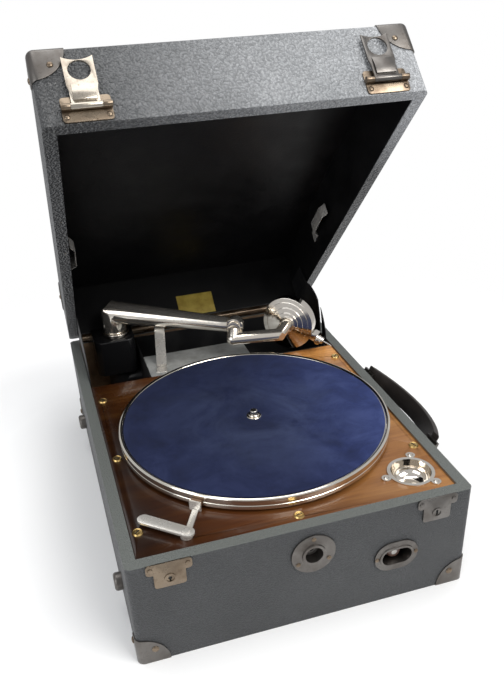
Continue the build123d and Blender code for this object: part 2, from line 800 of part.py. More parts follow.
# Arm rest: a bent strip from the horn sheet up under the tube
rest_point = pivot_corner + arm_along * (arm_end - pivot_corner).length * rest_along
rest_tube_radius = arm_radius + (arm_end_radius - arm_radius) * rest_along
saddle_z = rest_point.Z - rest_tube_radius / cos(asin(-arm_along.Z)) - 1.2
rest_head = Vector(rest_point.X, rest_point.Y, 0)
rest_foot = Vector(rest_foot_x, rest_foot_y, 0)
rest_dir = (rest_head - rest_foot).normalized()
rest_run = (rest_head - rest_foot).length
rest_plane = Plane(origin=(rest_foot_x, rest_foot_y, 0), x_dir=tuple(rest_dir),
                   z_dir=(rest_dir.Y, -rest_dir.X, 0))
saddle_half = 6.0
with BuildPart() as arm_rest:
    with BuildSketch(rest_plane):
        with BuildLine():
            FilletPolyline((-rest_foot_length / 2, deck_top + rest_sheet / 2),
                           (rest_foot_length / 2, deck_top + rest_sheet / 2),
                           (rest_run - saddle_half, saddle_z - rest_sheet / 2),
                           (rest_run + saddle_half, saddle_z - rest_sheet / 2), radius=3.0)
            offset(amount=rest_sheet / 2, side=Side.BOTH)
        make_face()
    extrude(amount=rest_width / 2, both=True)
save(arm_rest.part, "arm_rest")

# Side feet on the left wall, where the case stands when it is carried
with BuildPart() as side_feet:
    with BuildSketch(Plane.YZ.offset(-case_width / 2)):
        with Locations((-foot_y, foot_z), (foot_y, foot_z)):
            Circle(foot_radius)
    extrude(amount=-foot_tall)
    fillet(side_feet.edges().group_by(Axis.X)[0], radius=2.5)
save(side_feet.part, "side_feet")

# Hinge: two leaves let into the rims, with alternate knuckles round one pin
hinge_length = case_width - 2 * hinge_inset
knuckle_count = int(hinge_length // knuckle_length)
knuckle_pitch = hinge_length / knuckle_count
knuckle_play = 0.2


def hinge_leaf(leaf_bottom, first):
    """A leaf whose underside is at leaf_bottom, carrying every second knuckle from number first."""
    with BuildPart() as leaf:
        with BuildSketch(Plane.XY.offset(leaf_bottom)):
            with Locations((0, case_depth / 2 - leaf_width / 2)):
                Rectangle(hinge_length, leaf_width)
        extrude(amount=leaf_thick)
        for i in range(first, knuckle_count, 2):
            left = -hinge_length / 2 + i * knuckle_pitch + knuckle_play / 2
            with BuildSketch(Plane.YZ.offset(left)):
                with Locations((hinge_y, hinge_z)):
                    Circle(knuckle_radius)
                with Locations(((case_depth / 2 + hinge_y) / 2 - 0.5, leaf_bottom + leaf_thick / 2)):
                    Rectangle(hinge_y - case_depth / 2 + 1.0, leaf_thick)
            extrude(amount=knuckle_pitch - knuckle_play)
        with BuildSketch(Plane.YZ.offset(-hinge_length / 2)):
            with Locations((hinge_y, hinge_z)):
                Circle(hinge_pin_radius + hinge_fit)
        extrude(amount=hinge_length, mode=Mode.SUBTRACT)
    return leaf.part


save(hinge_leaf(base_height - leaf_thick, 0), "hinge_base_leaf")
save(opened(hinge_leaf(lid_rim, 1)), "hinge_lid_leaf")

with BuildPart() as hinge_pin:
    with BuildSketch(Plane.YZ.offset(-hinge_length / 2)):
        with Locations((hinge_y, hinge_z)):
            Circle(hinge_pin_radius)
    extrude(amount=hinge_length)
save(opened(hinge_pin.part), "hinge_pin")

# Lid carcass, drawn shut
lid_core = case_block(skin, lid_rim + skin, lid_top - skin, lid_edge_round - skin)
with BuildPart() as lid_carcass:
    add(lid_core)
    with BuildSketch(Plane.XY.offset(lid_rim + skin)):
        Rectangle(inner_width, inner_depth)
    extrude(amount=lid_height - lid_panel - skin, mode=Mode.SUBTRACT)
save(opened(lid_carcass.part), "lid_carcass")

# Lid covering: cloth over the top, round the walls and over the rim
lid_block = case_block(0.0, lid_rim, lid_top, lid_edge_round)
with BuildPart() as lid_covering:
    add(lid_block)
    add(lid_core, mode=Mode.SUBTRACT)
    with BuildSketch(Plane.XY.offset(lid_rim)):
        Rectangle(inner_width, inner_depth)
    extrude(amount=skin, mode=Mode.SUBTRACT)
    with BuildSketch(Plane.XY.offset(lid_rim)):
        with Locations((0, case_depth / 2 - leaf_width / 2)):
            Rectangle(hinge_length, leaf_width)
    extrude(amount=leaf_thick, mode=Mode.SUBTRACT)
save(opened(lid_covering.part), "lid_covering")


def lid_cap():
    """Corner caps over the lid's rounded top corners."""
    t = protector_thick
    with BuildPart() as cap:
        with BuildSketch(Plane.XY.offset(lid_top - protector_reach)):
            RectangleRounded(case_width + 2 * t, case_depth + 2 * t, corner_round + t)
        extrude(amount=protector_reach + t)
        fillet(cap.faces().sort_by(Axis.Z)[-1].edges(), radius=lid_edge_round + t)
        add(lid_block, mode=Mode.SUBTRACT)
        with Locations((case_width / 2, -case_depth / 2, lid_top)):
            Sphere(protector_reach, mode=Mode.INTERSECT)
        mirror(about=Plane.YZ)
        mirror(about=Plane.XZ)
    return cap.part


save(opened(lid_cap()), "lid_corner_protectors")

# Side cheeks: thin black quadrants that close the gap beside the open lid
cheek_turn = radians(cheek_sweep)
cheek_tab = 24.0
with BuildPart() as cheek_right:
    with BuildSketch(Plane.YZ.offset(inner_side - cheek_gap - cheek_thick)):
        with BuildLine():
            root_radius = 14.0
            rim_point = (hinge_y - cheek_reach_lid, hinge_z)
            low_point = (hinge_y - cheek_reach_base * cos(cheek_turn),
                         hinge_z - cheek_reach_base * sin(cheek_turn))
            mid_reach = (cheek_reach_lid + cheek_reach_base) / 2 + 9.0
            mid_point = (hinge_y - mid_reach * cos(cheek_turn / 2),
                         hinge_z - mid_reach * sin(cheek_turn / 2))
            root_point = (hinge_y - root_radius, hinge_z - root_radius * tan(cheek_turn))
            Polyline((inner_back - 1.0, lid_rim + cheek_tab), (rim_point[0] + 8, lid_rim + cheek_tab),
                     rim_point)
            ThreePointArc(rim_point, mid_point, low_point)
            Polyline(low_point, root_point, (inner_back - 1.0, hinge_z),
                     (inner_back - 1.0, lid_rim + cheek_tab))
        make_face()
    extrude(amount=cheek_thick)
cheek_plate = cheek_right.part
stay_angle = asin((hinge_z - (base_height - 6.0)) / stay_radius)
with BuildPart() as slot_cut:
    with BuildSketch(Plane.YZ.offset(inner_side - cheek_gap - 2 * cheek_thick)):
        with BuildLine():
            CenterArc((hinge_y, hinge_z), stay_radius, 180 + degrees(stay_angle), lid_open)
            offset(amount=stay_pin_radius + stay_slot_fit, side=Side.BOTH)
        make_face()
    extrude(amount=3 * cheek_thick)
with BuildPart() as lid_cheeks:
    add(cheek_plate)
    mirror(about=Plane.YZ)
    add(slot_cut.part, mode=Mode.SUBTRACT)
    with BuildSketch(Plane.YZ.offset(inner_side)):
        with Locations((hinge_y - 30.0, lid_rim + 12.0), (hinge_y - 52.0, lid_rim + 12.0)):
            Circle(4.0)
    extrude(amount=-cheek_gap)
    with BuildSketch(Plane.YZ.offset(-inner_side)):
        with Locations((hinge_y - 30.0, lid_rim + 12.0), (hinge_y - 52.0, lid_rim + 12.0)):
            Circle(4.0)
    extrude(amount=cheek_gap)
save(opened(lid_cheeks.part), "lid_cheeks")

# Stay stud: the headed pin in the case wall that stops the right cheek's slot
stay_y = hinge_y - stay_radius * cos(stay_angle)
stay_z = hinge_z - stay_radius * sin(stay_angle)
with BuildPart() as lid_stay_stud:
    with BuildSketch(Plane.YZ.offset(inner_side)):
        with Locations((stay_y, stay_z)):
            Circle(stay_pin_radius)
    extrude(amount=-(cheek_gap + cheek_thick + 0.5))
    with BuildSketch(Plane.YZ.offset(inner_side - cheek_gap - cheek_thick - 0.5)):
        with Locations((stay_y, stay_z)):
            Circle(stay_pin_radius + 1.8)
    extrude(amount=-1.2)
save(lid_stay_stud.part, "lid_stay_stud")


def record_clip(side):
    """A bent strip on the lid's side wall that holds records by their edge."""
    foot = 14.0
    bend = 8.0
    low = clip_centre_y - clip_length / 2
    high = clip_centre_y + clip_length / 2
    wall_x = side * inner_side
    inward = -side
    with BuildPart() as clip:
        with BuildSketch(Plane.XY.offset(lid_rim + clip_height - clip_width / 2)):
            with BuildLine():
                FilletPolyline((wall_x + inward * clip_sheet / 2, high),
                               (wall_x + inward * clip_sheet / 2, high - foot),
                               (wall_x + inward * clip_stand, high - foot - bend),
                               (wall_x + inward * clip_stand, low + bend),
                               (wall_x + inward * (clip_stand - 4.0), low), radius=1.6)
                offset(amount=clip_sheet / 2, side=Side.BOTH)
            make_face()
        extrude(amount=clip_width)
    return clip.part


save(opened(record_clip(-1)), "record_clip_left")
save(opened(record_clip(1)), "record_clip_right")

# Hasp plates on the lid front: a screwed plate with two knuckles round the hasp's pin
hasp_pivot_y = front_face - hasp_plate_thick - hasp_barrel_radius
hasp_pivot_z = lid_rim + hasp_pivot_height
hasp_knuckle = 6.5
with BuildPart() as hasp_plates:
    for side in (-1, 1):
        with BuildSketch(front_plane):
            with Locations((side * lock_x, lid_rim + hasp_plate_tall / 2 + 1.0)):
                RectangleRounded(hasp_plate_width, hasp_plate_tall, 2.5)
        extrude(amount=hasp_plate_thick)
        for end in (-1, 1):
            outer = side * lock_x + end * (hasp_width / 2 + hasp_knuckle / 2 + 0.2)
            with BuildSketch(Plane.YZ.offset(outer - hasp_knuckle / 2)):
                with Locations((hasp_pivot_y, hasp_pivot_z)):
                    Circle(hasp_barrel_radius)
                with Locations((front_face - hasp_plate_thick - hasp_barrel_radius / 2, hasp_pivot_z)):
                    Rectangle(hasp_barrel_radius, hasp_barrel_radius * 1.4)
            extrude(amount=hasp_knuckle)
    for side in (-1, 1):
        with BuildSketch(Plane.YZ.offset(side * lock_x - hasp_width / 2 - hasp_knuckle - 0.2)):
            with Locations((hasp_pivot_y, hasp_pivot_z)):
                Circle(hasp_pin_radius)
        extrude(amount=hasp_width + 2 * hasp_knuckle + 0.4)
save(opened(hasp_plates.part), "hasp_plates")


def hasp(centre_x):
    """A hasp folded up against the lid: a holed plate on a barrel, with a raised finger tongue."""
    plate_back = hasp_pivot_y - hasp_thick / 2
    with BuildPart() as piece:
        with BuildSketch(Plane.XZ.offset(-plate_back - hasp_thick)):
            with BuildLine():
                half = hasp_width / 2
                top = hasp_pivot_z + hasp_length
                low = hasp_pivot_z + 0.5
                Polyline((centre_x - half + 1.0, low), (centre_x + half - 1.0, low),
                         (centre_x + half - 1.0, low + 12),
                         (centre_x + half, low + 16), (centre_x + half, top))
                ThreePointArc((centre_x + half, top), (centre_x, top - 3.0), (centre_x - half, top))
                Polyline((centre_x - half, top), (centre_x - half, low + 16),
                         (centre_x - half + 1.0, low + 12),
                         (centre_x - half + 1.0, low))
            make_face()
            with Locations((centre_x, hasp_pivot_z + hasp_hole_reach)):
                Circle(hasp_hole_radius, mode=Mode.SUBTRACT)
        extrude(amount=hasp_thick)
        with BuildSketch(Plane.YZ.offset(centre_x - hasp_width / 2)):
            with Locations((hasp_pivot_y, hasp_pivot_z)):
                Circle(hasp_barrel_radius)
        extrude(amount=hasp_width)
        with BuildSketch(Plane.YZ.offset(centre_x - 8.0)):
            with BuildLine():
                y0 = hasp_pivot_y - hasp_thick / 2
                low_z = hasp_pivot_z + 4.0
                Line((y0 + 0.3, low_z), (y0 - 1.1, low_z))
                ThreePointArc((y0 - 1.1, low_z), (y0 - 1.7, low_z + 8.0), (y0, low_z + 15.0))
                Polyline((y0, low_z + 15.0), (y0 + 0.3, low_z + 15.0), (y0 + 0.3, low_z))
            make_face()
        extrude(amount=16.0)
        with BuildSketch(Plane.YZ.offset(centre_x - hasp_width / 2)):
            with Locations((hasp_pivot_y, hasp_pivot_z)):
                Circle(hasp_pin_radius + hinge_fit)
        extrude(amount=hasp_width, mode=Mode.SUBTRACT)
    return piece.part


save(opened(hasp(-lock_x)), "hasp_left")
save(opened(hasp(lock_x)), "hasp_right")

# Turntable: a pressed plate with a rolled bright rim and a hub
with BuildPart() as platter:
    with BuildSketch(Plane(origin=(table_x, table_y, 0), x_dir=(1, 0, 0), z_dir=(0, -1, 0))):
        with BuildLine():
            inner_rim = table_radius - rim_band
            Polyline((hub_bore_radius, table_top - 9.0), (hub_radius, table_top - 9.0),
                     (hub_radius, table_top - table_sheet),
                     (table_radius - table_sheet, table_top - table_sheet),
                     (table_radius - table_sheet, table_top - table_skirt),
                     (table_radius, table_top - table_skirt),
                     (table_radius, table_top))
            ThreePointArc((table_radius, table_top), (table_radius - rim_band / 2, table_top + 1.4),
                          (inner_rim, table_top))
            Polyline((inner_rim, table_top), (hub_bore_radius, table_top),
                     (hub_bore_radius, table_top - 9.0))
        make_face()
    revolve(axis=Axis((table_x, table_y, 0), (0, 0, 1)))
    with BuildSketch(Plane.XY.offset(table_top)):
        with Locations((table_x, table_y)):
            Circle(7.0)
            Circle(hub_bore_radius, mode=Mode.SUBTRACT)
    extrude(amount=velvet_thick)
save(platter.part, "platter")

with BuildPart() as platter_velvet:
    with BuildSketch(Plane.XY.offset(table_top)):
        with Locations((table_x, table_y)):
            Circle(table_radius - rim_band - velvet_margin)
            Circle(7.0, mode=Mode.SUBTRACT)
    extrude(amount=velvet_thick)
save(platter_velvet.part, "platter_velvet")


def spur_gear(teeth, thick, pitch_turn, bore):
    """A straight-toothed gear with an involute flank, a tooth centred on pitch_turn degrees."""
    pitch = gear_module * teeth / 2
    tip = pitch + gear_module * 0.95
    root = pitch - gear_module * 1.2
    base = pitch * cos(radians(20))
    half_tooth = (pi * gear_module / 2 - gear_backlash / 2) / 2 / pitch

    def involute(radius):
        a = sqrt(max((radius / base) ** 2 - 1, 0))
        return a - atan2(a, 1)

    at_pitch = involute(pitch)
    levels = [max(base, root), pitch, (pitch + tip) / 2, tip]
    points = []
    for k in range(teeth):
        centre = radians(pitch_turn) + 2 * pi * k / teeth
        flank = [(r, half_tooth + at_pitch - involute(r)) for r in levels]
        step = 2 * pi / teeth
        points.append((root * cos(centre - step / 2), root * sin(centre - step / 2)))
        points.append((root * cos(centre - flank[0][1]), root * sin(centre - flank[0][1])))
        for r, a in flank:
            if r > root + 0.02:
                points.append((r * cos(centre - a), r * sin(centre - a)))
        for r, a in reversed(flank):
            if r > root + 0.02:
                points.append((r * cos(centre + a), r * sin(centre + a)))
        points.append((root * cos(centre + flank[0][1]), root * sin(centre + flank[0][1])))
    with BuildPart() as gear:
        with BuildSketch():
            with BuildLine():
                Polyline(*points, close=True)
            make_face()
            Circle(bore, mode=Mode.SUBTRACT)
        extrude(amount=thick)
    return gear.part


def bevel_gear(teeth, mate_teeth, pitch_turn):
    """A straight bevel gear about Z with its apex at the origin, a tooth centred on pitch_turn degrees."""
    pitch = gear_module * teeth / 2
    reach = gear_module * mate_teeth / 2
    cone = hypot(pitch, reach)
    angle = atan2(pitch, reach)
    add_angle = 0.8 * gear_module / cone
    ded_angle = 1.1 * gear_module / cone
    inner = cone - bevel_face

    def ring(distance, lift, turn):
        r = distance * sin(angle + lift)
        return (r * cos(turn), r * sin(turn), -distance * cos(angle + lift))

    with BuildPart() as gear:
        with BuildSketch(Plane.XZ):
            with BuildLine():
                outer_low = (cone * sin(angle - ded_angle), -cone * cos(angle - ded_angle))
                inner_low = (inner * sin(angle - ded_angle), -inner * cos(angle - ded_angle))
                Polyline((0, inner_low[1]), inner_low, outer_low, (outer_low[0], outer_low[1] - 1.4),
                         (0, outer_low[1] - 1.4), close=True)
            make_face()
        revolve(axis=Axis.Z)
        half_pitch = (pi * gear_module / 2 - gear_backlash / 2) / 2 / pitch
        for k in range(teeth):
            centre = radians(pitch_turn) + 2 * pi * k / teeth
            sections = []
            for distance in (cone, inner):
                low = half_pitch * 1.45
                high = half_pitch * 0.55
                corners = [ring(distance, -ded_angle * 1.25, centre - low),
                           ring(distance, add_angle, centre - high),
                           ring(distance, add_angle, centre + high),
                           ring(distance, -ded_angle * 1.25, centre + low)]
                sections.append(Face(Wire.make_polygon([Vector(*c) for c in corners], close=True)))
            add(Solid.make_loft([s.outer_wire() for s in sections], True))
    return gear.part


# Spindle with its drive pinion and worm wheel
spindle_bottom = motor_bottom_z
shoulder_z = table_top - 9.0
pinion_z = great_z - 0.5
worm_wheel_z = governor_z - 3.0
pinion_gear = spur_gear(pinion_teeth, gear_tall + 1.0, -90.0, spindle_radius)
worm_wheel = spur_gear(worm_wheel_teeth, 6.0, 0.0, spindle_radius)
with BuildPart() as spindle:
    with BuildSketch(Plane.XY.offset(spindle_bottom)):
        with Locations((table_x, table_y)):
            Circle(spindle_radius)
    extrude(amount=shoulder_z - spindle_bottom)
    with BuildSketch(Plane.XY.offset(shoulder_z)):
        with Locations((table_x, table_y)):
            Circle(hub_bore_radius)
    extrude(amount=table_top + velvet_thick - shoulder_z)
    with BuildSketch(Plane.XY.offset(table_top + velvet_thick)):
        with Locations((table_x, table_y)):
            Circle(pin_radius)
    extrude(amount=pin_tall)
    fillet(spindle.edges().group_by(Axis.Z)[-1], radius=1.4)
    add(Pos(table_x, table_y, pinion_z) * pinion_gear)
    add(Pos(table_x, table_y, worm_wheel_z) * worm_wheel)
save(spindle.part, "spindle")

# Spring barrel with the great wheel on its top
great_gear = spur_gear(great_teeth, gear_tall, 90.0 + 180.0 / great_teeth, arbor_radius + running_fit)
with BuildPart() as spring_barrel:
    with BuildSketch(Plane.XY.offset(barrel_z)):
        with Locations((barrel_x, barrel_y)):
            Circle(barrel_radius)
    extrude(amount=barrel_tall)
    with BuildSketch(Plane.XY.offset(barrel_z + barrel_wall)):
        with Locations((barrel_x, barrel_y)):
            Circle(barrel_radius - barrel_wall)
    extrude(amount=barrel_tall - barrel_wall, mode=Mode.SUBTRACT)
    add(Pos(barrel_x, barrel_y, great_z) * great_gear)
    with BuildSketch(Plane.XY.offset(barrel_z)):
        with Locations((barrel_x, barrel_y)):
            Circle(arbor_radius + running_fit)
    extrude(amount=barrel_tall + gear_tall, mode=Mode.SUBTRACT)
save(spring_barrel.part, "spring_barrel")

# Mainspring: a flat strip coiled from the barrel's wall towards the arbor
spring_turns = 9
spring_outer = barrel_radius - barrel_wall - 0.6
spring_inner = arbor_radius + 6.0
spring_strip = 0.8
spiral = []
for k in range(spring_turns * 24 + 1):
    share = k / (spring_turns * 24)
    radius = spring_outer + (spring_inner - spring_outer) * share
    turn = 2 * pi * spring_turns * share
    spiral.append((radius, turn))
spring_points = [((r + spring_strip / 2) * cos(a), (r + spring_strip / 2) * sin(a)) for r, a in spiral]
spring_points += [((r - spring_strip / 2) * cos(a), (r - spring_strip / 2) * sin(a))
                  for r, a in reversed(spiral)]
with BuildPart() as mainspring:
    with BuildSketch(Plane.XY.offset(barrel_z + barrel_wall + 0.5)):
        with Locations((barrel_x, barrel_y)):
            with BuildLine():
                Polyline(*[(barrel_x + x, barrel_y + y) for x, y in spring_points], close=True)
            make_face()
    extrude(amount=barrel_tall - barrel_wall - 2.0)
save(mainspring.part, "mainspring")

# Arbor that winds the spring, with its bevel wheel facing up
bevel_wheel = bevel_gear(bevel_wheel_teeth, bevel_pinion_teeth, -90.0 + 180.0 / bevel_wheel_teeth)
with BuildPart() as winding_arbor:
    with BuildSketch(Plane.XY.offset(motor_bottom_z)):
        with Locations((barrel_x, barrel_y)):
            Circle(arbor_radius)
    extrude(amount=wind_z - bevel_pinion_pitch - 2.0 - motor_bottom_z)
    add(Pos(barrel_x, barrel_y, wind_z) * bevel_wheel)
save(winding_arbor.part, "winding_arbor")

# Winding shaft from the crank hole to the bevel pinion
bevel_pinion = bevel_gear(bevel_pinion_teeth, bevel_wheel_teeth, 0.0)
pinion_big_end = barrel_y - bevel_wheel_pitch
wind_front = front_face + 6.0
with BuildPart() as winding_shaft:
    with BuildSketch(Plane.XZ.offset(-pinion_big_end)):
        with Locations((barrel_x, wind_z)):
            Circle(wind_radius)
    extrude(amount=pinion_big_end - wind_front)
    with BuildSketch(Plane.XZ.offset(-wind_front)):
        with Locations((barrel_x, wind_z)):
            Circle(crank_socket_radius)
    extrude(amount=-crank_socket_depth, mode=Mode.SUBTRACT)
    add(Pos(barrel_x, barrel_y, wind_z) * (Rot(-90, 0, 0) * (Rot(0, 0, -90) * bevel_pinion)))
save(winding_shaft.part, "winding_shaft")

# Governor: a worm shaft with three weights on springs and a brake disc
governor_origin = Plane(origin=(governor_left, governor_y, governor_z), x_dir=(0, 1, 0), z_dir=(1, 0, 0))
governor_length = governor_right + 4.0 - governor_left
with BuildPart() as governor_shaft:
    with BuildSketch(governor_origin):
        Circle(governor_shaft_radius)
    extrude(amount=governor_length)
    with BuildSketch(governor_origin.offset(table_x - governor_left - 9.0)):
        Circle(worm_radius)
    extrude(amount=18.0)
    with BuildSketch(governor_origin.offset(50.0)):
        Circle(7.0)
    extrude(amount=4.0)
    with BuildSketch(governor_origin.offset(80.0)):
        Circle(governor_swing)
    extrude(amount=2.0)
save(governor_shaft.part, "governor_shaft")

weight_ring = governor_swing - weight_radius
with BuildPart() as governor_weights:
    with BuildSketch(governor_origin.offset(54.0)):
        with PolarLocations(weight_ring - 2.6, 3):
            Rectangle(0.6, 5.0)
    extrude(amount=26.0)
    with BuildSketch(governor_origin.offset(61.0)):
        with PolarLocations(weight_ring, 3):
            Circle(weight_radius)
    extrude(amount=12.0)
    with BuildSketch(governor_origin.offset(54.0)):
        Circle(governor_shaft_radius + 0.2)
    extrude(amount=26.0, mode=Mode.SUBTRACT)
save(governor_weights.part, "governor_weights")

# Motor plates: the upper one hangs from the deck, the lower one stands on pillars below it
motor_mid = ((motor_left + motor_right) / 2, (motor_front + motor_back) / 2)
hanger_y = barrel_y - bevel_wheel_pitch - 12.0
with BuildPart() as motor_top_plate:
    with BuildSketch(Plane.XY.offset(motor_top_z)):
        with Locations(motor_mid):
            RectangleRounded(motor_right - motor_left, motor_back - motor_front, 8.0)
        with Locations((table_x, table_y)):
            Circle(spindle_radius + running_fit, mode=Mode.SUBTRACT)
        with Locations(*motor_bolt_spots):
            Circle(bolt_radius, mode=Mode.SUBTRACT)
        with Locations((barrel_x, pinion_big_end + bevel_face / 2)):
            Rectangle(2 * bevel_pinion_pitch + 6.0, bevel_face + 8.0, mode=Mode.SUBTRACT)
    extrude(amount=motor_plate_thick)
    with BuildSketch(Plane.XZ.offset(-hanger_y)):
        with Locations((barrel_x, (motor_top_z + wind_z - 8.0) / 2)):
            Rectangle(16.0, motor_top_z - wind_z + 8.0)
        with Locations((barrel_x, wind_z)):
            Circle(wind_radius + running_fit, mode=Mode.SUBTRACT)
    extrude(amount=4.0)
save(motor_top_plate.part, "motor_top_plate")

pillar_spots = [(motor_left + pillar_inset, motor_front + pillar_inset),
                (motor_right - pillar_inset, motor_front + pillar_inset),
                (motor_left + pillar_inset, motor_back - pillar_inset),
                (motor_right - 4 * pillar_inset, motor_back - pillar_inset + 2.0)]
with BuildPart() as motor_bottom_plate:
    with BuildSketch(Plane.XY.offset(motor_bottom_z)):
        with Locations(motor_mid):
            RectangleRounded(motor_right - motor_left, motor_back - motor_front, 8.0)
        with Locations((table_x, table_y)):
            Circle(spindle_radius + running_fit, mode=Mode.SUBTRACT)
        with Locations((barrel_x, barrel_y)):
            Circle(arbor_radius + running_fit, mode=Mode.SUBTRACT)
    extrude(amount=motor_plate_thick)
    with BuildSketch(Plane.XY.offset(motor_bottom_z + motor_plate_thick)):
        with Locations(*pillar_spots):
            Circle(pillar_radius)
    extrude(amount=motor_top_z - motor_bottom_z - motor_plate_thick)
    with BuildSketch(Plane.XY.offset(motor_bottom_z + motor_plate_thick)):
        with Locations((governor_left + 2.0, governor_y), (governor_right + 2.0, governor_y)):
            Rectangle(4.0, 10.0)
    extrude(amount=governor_z + 5.0 - motor_bottom_z - motor_plate_thick)
    with BuildSketch(governor_origin):
        Circle(governor_shaft_radius + running_fit)
    extrude(amount=governor_length, mode=Mode.SUBTRACT)
save(motor_bottom_plate.part, "motor_bottom_plate")

# Bolts with rubber bushes that hang the motor from the deck
with BuildPart() as motor_mounts:
    with BuildSketch(Plane.XY.offset(motor_top_z)):
        with Locations(*motor_bolt_spots):
            Circle(bolt_radius)
    extrude(amount=deck_top - motor_top_z)
    with BuildSketch(Plane.XY.offset(deck_top)):
        with Locations(*motor_bolt_spots):
            Circle(bolt_radius * 2)
    extrude(amount=2.0)
    with BuildSketch(Plane.XY.offset(motor_top_z)):
        with Locations(*motor_bolt_spots):
            RegularPolygon(bolt_radius * 2, 6)
    extrude(amount=-3.0)
    with BuildSketch(Plane.XY.offset(motor_top_z + motor_plate_thick)):
        with Locations(*motor_bolt_spots):
            Circle(bush_radius)
    extrude(amount=deck_under - motor_top_z - motor_plate_thick)
save(motor_mounts.part, "motor_mounts")

# Speed regulator: a knob on the deck with an arm below that reaches the governor's disc
with BuildPart() as speed_knob:
    with BuildSketch(Plane.XY.offset(deck_top + arm_gap)):
        with Locations((speed_x, speed_y)):
            Circle(speed_knob_radius)
    extrude(amount=speed_knob_tall)
    fillet(speed_knob.edges().group_by(Axis.Z)[-1], radius=1.2)
    pad_x = governor_left + 82.0 + 0.4
    pad_y = governor_y + 9.0
    with BuildSketch(Plane.XY.offset(governor_z + 2.0)):
        with Locations((speed_x, speed_y)):
            Circle(speed_shaft_radius)
    extrude(amount=deck_top + arm_gap - governor_z - 2.0)
    with BuildSketch(Plane.XY.offset(governor_z + 2.0)):
        with BuildLine():
            Polyline((speed_x - 2.4, speed_y - 1.0), (speed_x + 2.4, speed_y + 1.0),
                     (pad_x + 3.2, pad_y + 4.0),
                     (pad_x + 3.2, pad_y - 4.0), (pad_x, pad_y - 4.0), (pad_x, pad_y + 4.0), close=True)
        make_face()
    extrude(amount=2.5)
save(speed_knob.part, "speed_knob")

# Brake: an oval lever on the deck with an arm whose shoe bears on the platter's rim
lever_turn = radians(brake_lever_angle)
brake_z = deck_top + brake_lever_lift
to_table = Vector(table_x - brake_x, table_y - brake_y, 0)
shoe_radius = table_radius + shoe_clearance
shoe_spot = Vector(-79.3, -148.3, 0)
shoe_out = (shoe_spot - Vector(table_x, table_y, 0)).normalized()
shoe_face = Vector(table_x, table_y, 0) + shoe_out * shoe_radius
shoe_back = shoe_face + shoe_out * shoe_thick
arm_turn = degrees(atan2(shoe_back.Y - brake_y, shoe_back.X - brake_x))
arm_length = hypot(shoe_back.X - brake_x, shoe_back.Y - brake_y)
with BuildPart() as brake_lever:
    with BuildSketch(Plane.XY.offset(deck_under)):
        with Locations((brake_x, brake_y)):
            Circle(brake_pivot_radius)
    extrude(amount=brake_z - deck_under)
    with BuildSketch(Plane.XY.offset(deck_top + arm_gap)):
        with Locations((brake_x, brake_y)):
            Circle(brake_pivot_radius + 2.5)
    extrude(amount=brake_lever_lift - arm_gap)
    with BuildSketch(Plane.XY.offset(brake_z)):
        with Locations((brake_x + (brake_lever_length / 2 - 4) * cos(lever_turn),
                        brake_y + (brake_lever_length / 2 - 4) * sin(lever_turn))):
            SlotOverall(brake_lever_length + 6, brake_lever_width, rotation=brake_lever_angle)
    extrude(amount=brake_lever_thick)
    with BuildSketch(Plane.XY.offset(brake_z + brake_lever_thick)):
        with Locations((brake_x, brake_y)):
            Circle(3.4)
    extrude(amount=1.2)
    arm_plane = Plane(origin=(brake_x, brake_y, deck_top + arm_gap), x_dir=(cos(radians(arm_turn)),
                      sin(radians(arm_turn)), 0), z_dir=(0, 0, 1))
    with BuildSketch(arm_plane):
        with Locations((arm_length / 2 - 1.0, 0)):
            Rectangle(arm_length - 2.0, brake_arm_width)
    extrude(amount=1.6)
    holder_plane = Plane(origin=(shoe_back.X, shoe_back.Y, deck_top + arm_gap), x_dir=tuple(shoe_out),
                         z_dir=(0, 0, 1))
    with BuildSketch(holder_plane):
        with Locations((0.8, 0)):
            Rectangle(1.6, 10.0)
    extrude(amount=9.0)
save(brake_lever.part, "brake_lever")

with BuildPart() as brake_shoe:
    with BuildSketch(holder_plane.offset(3.0)):
        with Locations((-shoe_thick / 2, 0)):
            Rectangle(shoe_thick, 9.0)
    extrude(amount=6.0)
    with BuildSketch(Plane.XY.offset(deck_top)):
        with Locations((table_x, table_y)):
            Circle(shoe_radius)
    extrude(amount=12.0, mode=Mode.SUBTRACT)
save(brake_shoe.part, "brake_shoe")

# Gooseneck: a swivel cap on the arm's hub and a mitred tube to the back of the sound box
heading = radians(box_heading)
lean = radians(box_lean)
box_out = Vector(cos(heading) * cos(lean), sin(heading) * cos(lean), sin(lean))
box_side = Vector(-sin(heading), cos(heading), 0)
box_up = box_out.cross(box_side)
box_centre = Vector(box_x, box_y, box_z)
swivel_start = hub + arm_side * (arm_hub_length / 2 + arm_gap)
elbow_one = hub + arm_side * (arm_hub_length / 2 + 8.5) - Vector(0, 0, 10.0)
elbow_two = box_centre + box_out * 27.5 - Vector(0, 0, 4.5)
box_back = box_centre + box_out * (box_deep / 2)
neck_start = hub + arm_side * (arm_hub_length / 2 + 3.0)
neck_outer = mitred_pipe([tuple(elbow_one), tuple(elbow_two), tuple(box_back)], [neck_radius] * 3,
                         facet_share)
with BuildPart() as gooseneck:
    with BuildSketch(Plane(origin=swivel_start, z_dir=arm_side)):
        Circle(arm_hub_radius - 2.1)
    extrude(amount=4.0)
    with Locations(tuple(elbow_one)):
        Sphere(neck_radius + 0.4)
    with BuildSketch(Plane(origin=neck_start, z_dir=(elbow_one - neck_start).normalized())):
        Circle(neck_radius)
    extrude(amount=(elbow_one - neck_start).length)
    split(bisect_by=Plane(origin=swivel_start, z_dir=arm_side), keep=Keep.TOP)
    add(neck_outer)
    split(bisect_by=Plane(origin=box_back, z_dir=box_out), keep=Keep.TOP)
    with BuildSketch(Plane(origin=swivel_start, z_dir=arm_side)):
        Circle(3.0)
    extrude(amount=-(arm_hub_length + arm_gap + 1.5))
save(gooseneck.part, "gooseneck")

